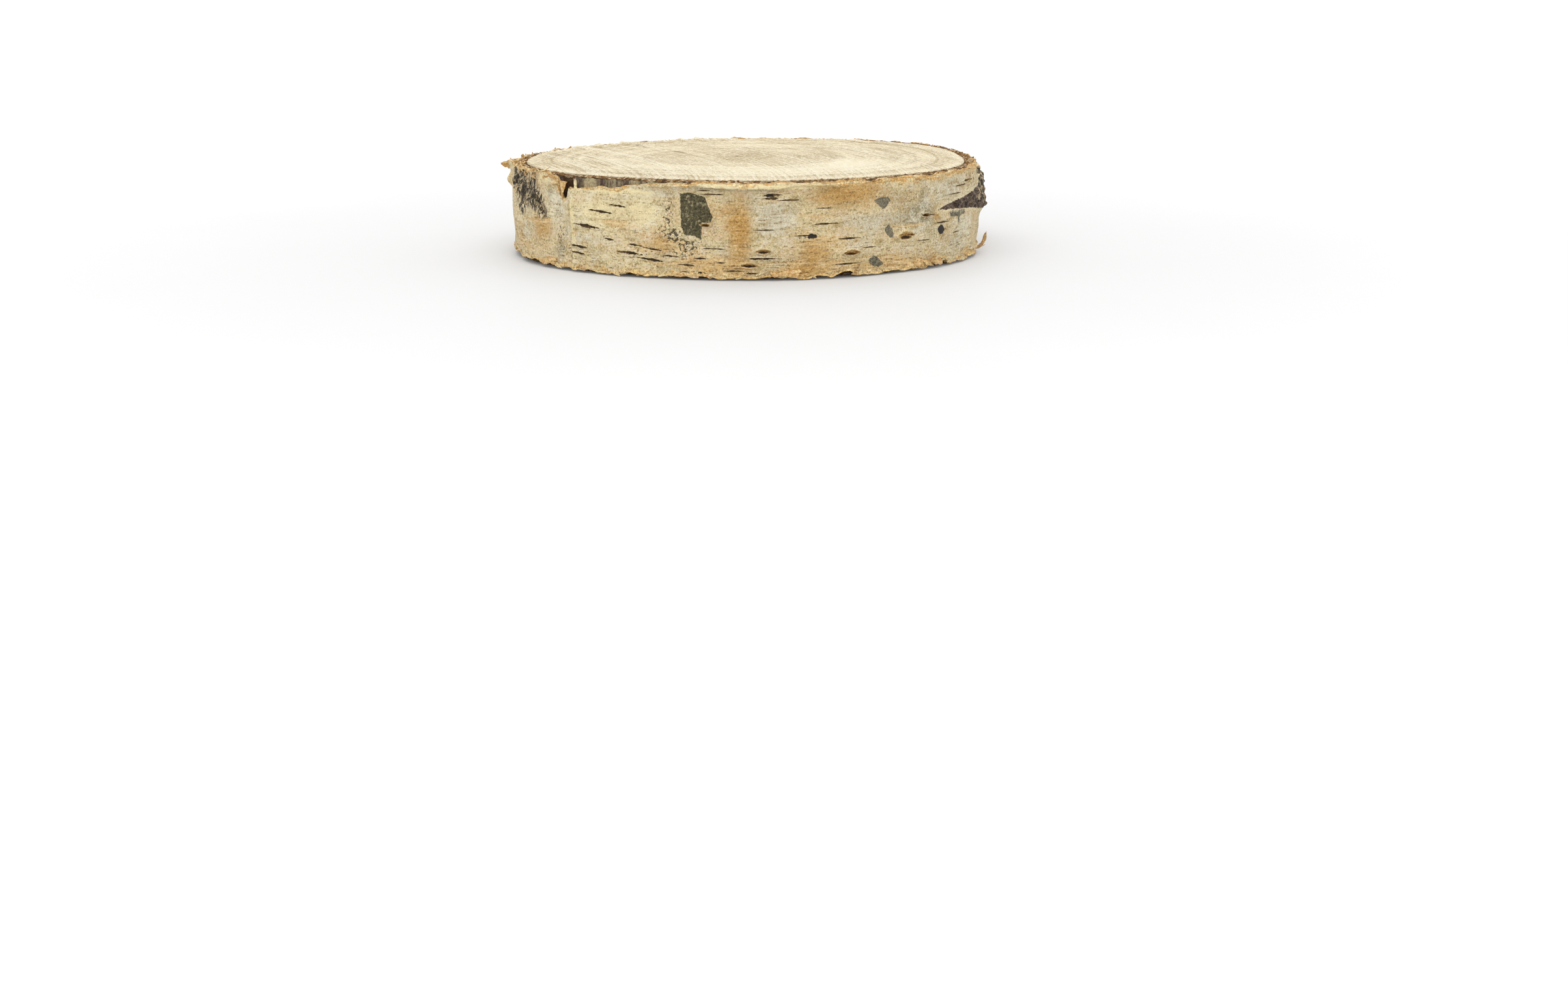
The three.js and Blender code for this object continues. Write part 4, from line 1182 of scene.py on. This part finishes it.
class BIRCH_OT_outer_bark(bpy.types.Operator):
    """Outer bark: a papery sheet round the slice with torn, layered edges and the marks of a birch"""

    bl_idname = "birch.outer_bark"
    bl_label = "Outer Bark"

    def execute(self, context):
        trunk = Trunk(context.scene.birch_sizes)
        columns, wall_rows, leaves = 920, 92, 4
        angle = np.linspace(-np.pi, np.pi, columns, endpoint=False)[:, None]
        inside = trunk.bark(angle) - trunk.paper

        leaf = np.repeat(np.arange(leaves), 2)[None, :]
        leaf_share = (leaf + np.tile([0.04, 0.96], leaves)) / leaves
        jag = [rim_noise(angle, cells=260, octaves=3, seed=70 + k) * 0.16 for k in range(leaves)]
        rim_jag = np.concatenate([jag[k] for k in leaf[0]], 1)
        rim_up = trunk.thick - trunk.upper_tear(angle) + rim_jag
        foot_up = trunk.lower_tear(angle) - np.roll(rim_jag, columns // 3, 0)
        foot_up = np.maximum(foot_up, OUTER_CLEAR)

        drop = np.linspace(0.004, 0.996, wall_rows)[None, :]
        wall_up = rim_up[:, -1:] * (1 - drop) + foot_up[:, -1:] * drop
        marks = self.marks(trunk, angle, wall_up)
        wall_out = trunk.bark(angle) + trunk.relief(angle, wall_up)
        wall_out = wall_out + self.fine_relief(trunk, angle, wall_up, marks)
        rim_out = inside + (wall_out[:, :1] - inside) * leaf_share
        foot_out = inside + (wall_out[:, -1:] - inside) * leaf_share[:, ::-1]

        radius = np.concatenate([rim_out, wall_out, foot_out], 1)
        height = np.concatenate([rim_up, wall_up, foot_up[:, ::-1]], 1)
        points = np.stack([radius * np.cos(angle), radius * np.sin(angle), height], -1)
        faces = grid_faces(columns, radius.shape[1], True, True)[:, ::-1]
        fields = {}
        for name, value in marks.items():
            none = np.full((columns, 2 * leaves), -1.0 if value.min() < 0 else 0.0)
            fields[name] = np.concatenate([none, value, none], 1)
        rim = np.ones((columns, 2 * leaves))
        fields["torn"] = np.concatenate([rim, self.torn_edge(angle, wall_up, rim_up, foot_up), rim], 1)
        fields["leaf"] = np.concatenate([leaf + 0 * rim, np.full(wall_up.shape, leaves), leaf + 0 * rim], 1)
        finish = paper_finish(context.scene.birch_colours)
        piece = lay_piece("outer_bark_sheet", trunk.in_row(points), faces, fields, finish)
        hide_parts("outer_bark")
        return {"FINISHED"}

    def marks(self, trunk, angle, height):
        """The fields that the material reads, from the tables and from seeded marks on the unseen sides."""
        lenticels = LENTICELS + scattered(seed=3, count=60, long=(1.4, 7.5), tall=(0.25, 0.6))
        eyes = EYES + scattered(seed=4, count=6, long=(2.4, 4.4), tall=(0.7, 1.4))
        patches = GREY_PATCHES + scattered_outlines(seed=5, count=6, long=(2.4, 6.0), tall=(2.0, 6.0))
        blacks = BLACK_SPOTS + scattered(seed=6, count=3, long=(1.6, 3.0), tall=(0.9, 2.0))
        fields = {}
        for name, lenses in (("lenticel", lenticels), ("eye", eyes)):
            shares = trunk.lens(angle, height, lenses)
            fields[name], fields[name + "_along"], fields[name + "_up"] = shares
        for name, outlines in (("grey", patches), ("old", (OLD_BARK, OLD_KNOT)), ("scar", (BRANCH_SCAR,))):
            fields[name] = np.maximum.reduce([trunk.inside(angle, height, line) for line in outlines])
        for name, rows in SOFT_FIELDS.items():
            fields[name] = trunk.amount(angle, height, rows)
        # More orange stain towards the foot: the bark is darker and warmer towards the bottom.
        fields["stain"] = fields["stain"] + 0.45 * np.exp(-height / 2.2)
        fields["ash"] = between(ASHEN, angle) + 0 * height
        fields["black"] = trunk.spot(angle, height, blacks)
        skins = bark_noise(angle, height, cells=30, tall=1.6, octaves=4, seed=85)
        fields["peel"] = skins - 0.05 * height
        fields["low"] = np.exp(-((height / 6.5) ** 2))
        return fields

    def fine_relief(self, trunk, angle, height, marks):
        """Small shapes of the sheet: level wrinkles, dents, upright folds, the step where a skin has peeled,
        raised lenticels and eyes with a groove, sunk patches, the crease, the ledge of the rolled lip, the
        ridges of the old bark and the roughness of the scar."""
        wrinkles = 0.05 * bark_noise(angle, height, cells=70, tall=0.9, octaves=3, seed=91)
        dents = 0.12 * bark_noise(angle, height, cells=26, tall=6.0, octaves=2, seed=95)
        upright = bark_noise(angle, height, cells=120, tall=12.0, octaves=2, seed=93)
        folds = 0.22 * trunk.amount(angle, height, FOLDS) * upright
        peeled = -0.08 * smooth_step(0.3, 0.38, marks["peel"])
        lenticel, eye = marks["lenticel"], marks["eye"]
        raised = 0.1 * smooth_step(-0.8, 0.0, lenticel) - 0.24 * smooth_step(0.0, 0.6, lenticel)
        raised = raised + 0.4 * smooth_step(-0.9, 0.0, eye) - 0.6 * smooth_step(0.05, 0.6, eye)
        sunk = -0.1 * smooth_step(-0.05, 0.25, marks["grey"])
        past = np.radians(degrees_from(CREASE_AT, angle)) * trunk.bark(angle)
        crease = np.exp(-(((past - 1.0) / 0.5) ** 2)) - np.exp(-(((past + 0.1) / 0.5) ** 2))
        crease = 0.2 * crease * smooth_step(15.5, 14.0, height)
        hem = self.hem(trunk, angle)
        ledge = 0.5 * between(LIP, angle) * smooth_step(hem - 0.12, hem + 0.2, height)
        furrowed, scarred = smooth_step(-0.4, 0.6, marks["old"]), smooth_step(-0.2, 0.6, marks["scar"])
        leaning = angle + 0.006 * height
        ridges = furrowed * 0.35 * bark_noise(leaning, height, cells=230, tall=5.0, octaves=3, seed=83)
        knobs = bark_noise(angle, height, cells=160, tall=1.7, octaves=3, seed=98)
        rough = np.maximum(furrowed, scarred) * 0.6 * knobs
        return wrinkles + dents + folds + peeled + raised + sunk + crease + ledge + ridges + rough

    def hem(self, trunk, angle):
        """Height of the lower edge of the rolled lip: a wavy line under the rim."""
        return trunk.thick - 1.45 + 0.4 * rim_noise(angle, cells=60, octaves=3, seed=67)

    def torn_edge(self, angle, height, rim_up, foot_up):
        """1 where the white skin is torn off to a noisy distance from an edge, which leaves a tan layer."""
        from_rim = rim_up[:, -1:] - height
        from_foot = height - foot_up[:, -1:]
        reach = 0.12 + 1.5 * np.clip(rim_noise(angle, cells=44, octaves=4, seed=65), 0, 1)
        uneven = np.clip(1 + rim_noise(angle, cells=60, octaves=3, seed=68), 0, 2)
        reach = reach + GOLDEN_RIM.depth * between(GOLDEN_RIM, angle) * uneven
        foot_reach = 0.65 + 1.5 * np.clip(rim_noise(angle, cells=34, octaves=4, seed=66), 0, 1)
        return np.maximum(1 - smooth_step(0, reach, from_rim), 1 - smooth_step(0, foot_reach, from_foot))


def ribbon_piece(name, trunk, spine, side, normal, left, right, reach, thick, cup, fields, material):
    """Thin strips as one piece. Each strip carries a flat cross-section along its spine: points at shares of
    the width on the face and again on the back, cupped by the square of the share. `reach` says how far along
    the spine each share of the width goes, which shapes the tip. Both ends are closed."""
    share = np.array(STRIP_SHARES)
    loop_share = np.concatenate([share, share[::-1]])
    way = np.repeat([1.0, -1.0], len(share))
    width = np.where(loop_share < 0, left[..., None], right[..., None]) * loop_share
    thin = 1 - 0.6 * np.abs(loop_share)
    lift = way * thin * thick[..., None] / 2 + cup[..., None] * loop_share**2
    root = spine[:, :1, None]
    run = (spine[:, :, None] - root) * np.concatenate([reach, reach[:, ::-1]], 1)[:, None, :, None]
    points = root + run + side[:, :, None] * width[..., None] + normal[:, :, None] * lift[..., None]
    strips, steps = spine.shape[:2]
    loop = len(loop_share)
    tube = grid_faces(steps, loop, False, True)
    ends = np.arange(len(share) - 1)
    base = np.stack([ends, ends + 1, loop - 2 - ends, loop - 1 - ends], -1)
    one = np.concatenate([tube, base[:, ::-1], base + (steps - 1) * loop])
    faces = (one[None] + (np.arange(strips) * steps * loop)[:, None, None]).reshape(-1, 4)
    spread = {key: np.broadcast_to(value[..., None], points.shape[:3]) for key, value in fields.items()}
    spread["outside"] = np.broadcast_to((way > 0).astype(float), points.shape[:3])
    return lay_piece(name, trunk.in_row(points), faces, spread, material)


class BIRCH_OT_loose_flakes(bpy.types.Operator):
    """Loose flakes: strips of bark paper that leave the wall at a lean, curl and narrow to the tip"""

    bl_idname = "birch.loose_flakes"
    bl_label = "Loose Flakes"

    def execute(self, context):
        trunk = Trunk(context.scene.birch_sizes)
        steps = 7
        flakes = np.array(FLAKES + self.small_flakes(trunk))
        at, height, width, length, way, lean, curl, twist, point, sweep, tint = flakes.T[:, :, None]
        angle = np.radians(at)
        share = np.linspace(0, 1, steps)[None, :]
        bend = np.radians(lean + curl * share)[..., None]
        step = (length / (steps - 1))[..., None]
        out = np.cumsum(step * np.sin(bend), 1) - step * np.sin(bend)
        on = np.cumsum(step * np.cos(bend), 1) - step * np.cos(bend)
        outwards = np.stack([np.cos(angle), np.sin(angle), 0 * angle], -1)
        level = np.stack([-np.sin(angle), np.cos(angle), 0 * angle], -1)
        upwards = np.stack([0 * angle, 0 * angle, way], -1)
        swept, turned = np.radians(sweep)[..., None], np.radians(twist)[..., None]
        along = upwards * np.cos(swept) + level * np.sin(swept)
        across = level * np.cos(swept) - upwards * np.sin(swept)
        radius = trunk.bark(angle) + trunk.relief(angle, height) - FLAKE_SUNK
        root = outwards * radius[..., None] + height[..., None] * (0.0, 0.0, 1.0)
        spine = root + outwards * out + along * on
        spine[..., 2] = np.maximum(spine[..., 2], FLAKE_CLEAR)
        side = (across * np.cos(turned) + outwards * np.sin(turned)) * np.where(way > 0, -1, 1)[..., None]
        side = np.repeat(side, steps, 1)
        face = outwards * np.cos(turned) - across * np.sin(turned)
        normal = face * np.cos(bend) - along * np.sin(bend)
        draw = np.random.default_rng(FLAKE_SEED)
        taper = width / 2 * (1 - point * share)
        ragged = draw.uniform(0.8, 1.15, (2, len(flakes), steps))
        reach = draw.uniform(0.6, 1.0, (len(flakes), len(STRIP_SHARES)))
        thick = 0.26 - 0.14 * share + 0 * at
        cup = draw.uniform(-0.12, 0.3, at.shape) * share
        fields = {"tip": share + 0 * at, "tint": tint + 0 * share}
        finish = flake_finish(context.scene.birch_colours)
        left, right = taper * ragged[0], taper * ragged[1]
        ribbon_piece(
            "loose_flakes", trunk, spine, side, normal, left, right, reach, thick, cup,
            fields, finish,
        )
        return {"FINISHED"}

    def small_flakes(self, trunk):
        """Flakes of each family, each drawn in one of even steps of angle along its rim or foot."""
        draw = np.random.default_rng(FAMILY_SEED)
        rows = []
        for family in SMALL_FLAKES:
            count, way = family.count, family.way
            at = family.start + (family.stop - family.start) * (np.arange(count) + draw.random(count)) / count
            length = draw.uniform(0.4, 1.0, count) * family.length
            width = draw.uniform(0.2, 1.0, count) * family.width
            rim, foot = trunk.thick - trunk.upper_tear(np.radians(at)), trunk.lower_tear(np.radians(at))
            edge = rim if family.at_rim else foot
            root = edge - way * family.rooted * length + draw.uniform(0.0, 0.3, count)
            lean, curl = draw.uniform(*family.lean, count), draw.uniform(-12, 24, count)
            twist, point = draw.uniform(-12, 12, count), draw.uniform(0.2, 0.9, count)
            sweep = draw.uniform(*family.sweep, count) * draw.choice((-1, 1), count)
            tint = draw.uniform(0.1, 1.0, count)
            rows += zip(at, root, width, length, np.full(count, way), lean, curl, twist, point, sweep, tint)
        return tuple(Flake(*row) for row in rows)


class BIRCH_OT_torn_fibres(bpy.types.Operator):
    """Torn fibres: slivers that the saw left standing over the bark where it came out of the wood"""

    bl_idname = "birch.torn_fibres"
    bl_label = "Torn Fibres"

    def execute(self, context):
        trunk = Trunk(context.scene.birch_sizes)
        draw = np.random.default_rng(FIBRE_SEED)
        count, steps = 260, 6
        angle = np.radians(draw.uniform(TORN_EDGE.start, TORN_EDGE.stop, count))[:, None]
        share = np.linspace(0, 1, steps)[None, :]
        radius = trunk.wood(angle) - TORN_EDGE.depth
        x, y = radius * np.cos(angle), radius * np.sin(angle)
        turn = np.arctan2(y - SAW_CENTRE[1], x - SAW_CENTRE[0]) + np.pi / 2
        length = 0.9 + 2.2 * draw.random((count, 1)) ** 3
        rise = draw.uniform(0.0, 0.3, (count, 1)) * share**1.5 - 0.04
        forward = length * share
        height = trunk.thick - 0.06 + rise
        spine = np.stack([x + forward * np.cos(turn), y + forward * np.sin(turn), height], -1)
        flat = 0 * rise
        side = np.stack([np.sin(turn) + flat, -np.cos(turn) + flat, flat], -1)
        normal = np.stack([flat, flat, 1 + flat], -1)
        half = draw.uniform(0.12, 0.34, (count, 1)) * (1 - 0.92 * share)
        thick = 0.2 * (1 - 0.7 * share) + flat
        reach = np.ones((count, len(STRIP_SHARES)))
        fields = {"tip": share + flat}
        finish = fibre_finish(context.scene.birch_colours)
        ribbon_piece(
            "torn_fibres", trunk, spine, side, normal, half, half, reach, thick, flat,
            fields, finish,
        )
        return {"FINISHED"}


def floor_finish():
    """Pale grey floor with a painted glow that lifts its shadows: none close to the slice, where the
    contact shadow stays dark, and more the further out, as in a white surround.
    """
    f = Finish("pale_floor", paint(190, 190, 190))
    tone = f.noise(0.02)
    away = f.node("ShaderNodeVectorMath", {"operation": "LENGTH"}, {0: f.place}, "Value")
    # Painted light: a glow that is off beside the slice and rises away from it.
    painted_glow = f.grey(away.step(46.0, 55.0) * 0.12 + away.step(54.0, 300.0) * 0.14)
    f.colour = f.shaded(f.colour, 0.985 + tone * 0.03)
    return f.surface(0.6, tone, 0.00001, 0.1, painted_glow)


class BIRCH_OT_stage(bpy.types.Operator):
    """Stage: a pale floor, a white surround, two large soft lights and the camera"""

    bl_idname = "birch.stage"
    bl_label = "Stage"

    def execute(self, context):
        stage, scene = context.scene.birch_stage, context.scene
        count, half, drop = 9, 3, 0.00002
        side = np.linspace(-half, half, count)
        x, y = np.meshgrid(side, side, indexing="ij")
        points = np.stack([x, y, np.full(x.shape, -drop)], -1).reshape(-1, 3)
        mesh = bpy.data.meshes.new("floor")
        mesh.from_pydata(points.tolist(), [], grid_faces(count, count, False, False).tolist())
        mesh.materials.append(floor_finish())
        floor = bpy.data.objects.new("floor", mesh)
        scene.collection.objects.link(floor)

        world = bpy.data.worlds.new("white_surround")
        world.use_nodes = True
        surround = world.node_tree.nodes["Background"]
        surround.inputs["Color"].default_value = (1.0, 1.0, 1.0, 1.0)
        surround.inputs["Strength"].default_value = stage.sky
        scene.world = world

        lights = (("overhead", stage.overhead, 110, (-20, 0)), ("key", stage.key, 80, (52, -4)))
        for name, strength, spread, (pitch, roll) in lights:
            light = bpy.data.lights.new(name, "SUN")
            light.energy, light.angle = strength, np.radians(spread)
            lamp = bpy.data.objects.new(name, light)
            lamp.rotation_euler = (np.radians(pitch), np.radians(roll), 0)
            scene.collection.objects.link(lamp)

        lens = bpy.data.cameras.new("camera")
        lens.sensor_width, lens.lens, lens.clip_start = 36.0, stage.lens, 0.01
        camera = bpy.data.objects.new("camera", lens)
        camera.location = np.array(stage.camera_place) + Trunk(scene.birch_sizes).middle * MM
        camera.rotation_euler = (np.pi / 2 - stage.camera_pitch, 0, 0)
        scene.collection.objects.link(camera)
        scene.camera = camera
        scene.view_settings.view_transform = "Standard"
        return {"FINISHED"}


PIECES = (
    BIRCH_OT_wood_disc,
    BIRCH_OT_inner_bark,
    BIRCH_OT_outer_bark,
    BIRCH_OT_loose_flakes,
    BIRCH_OT_torn_fibres,
    BIRCH_OT_stage,
)


class BIRCH_PT_slice(bpy.types.Panel):
    """The slice's sizes and colours, and the steps that build it"""

    bl_idname = "BIRCH_PT_slice"
    bl_label = "Birch Slice"
    bl_space_type = "VIEW_3D"
    bl_region_type = "UI"
    bl_category = "Birch Slice"

    def draw(self, context):
        for group in (context.scene.birch_sizes, context.scene.birch_colours, context.scene.birch_stage):
            box = self.layout.box()
            for name in group.__annotations__:
                box.prop(group, name)
        for piece in PIECES:
            self.layout.operator(piece.bl_idname)


GROUPS = {"birch_sizes": BirchSizes, "birch_colours": BirchColours, "birch_stage": BirchStage}


def register():
    for name, group in GROUPS.items():
        bpy.utils.register_class(group)
        setattr(bpy.types.Scene, name, bpy.props.PointerProperty(type=group))
    for item in (*PIECES, BIRCH_PT_slice):
        bpy.utils.register_class(item)


def unregister():
    for item in (BIRCH_PT_slice, *reversed(PIECES)):
        bpy.utils.unregister_class(item)
    for name, group in GROUPS.items():
        delattr(bpy.types.Scene, name)
        bpy.utils.unregister_class(group)


def main():
    """Builds the slice and its stage."""
    register()
    bpy.ops.birch.wood_disc()
    bpy.ops.birch.inner_bark()
    bpy.ops.birch.outer_bark()
    bpy.ops.birch.loose_flakes()
    bpy.ops.birch.torn_fibres()
    bpy.ops.birch.stage()


if __name__ == "__main__":
    main()
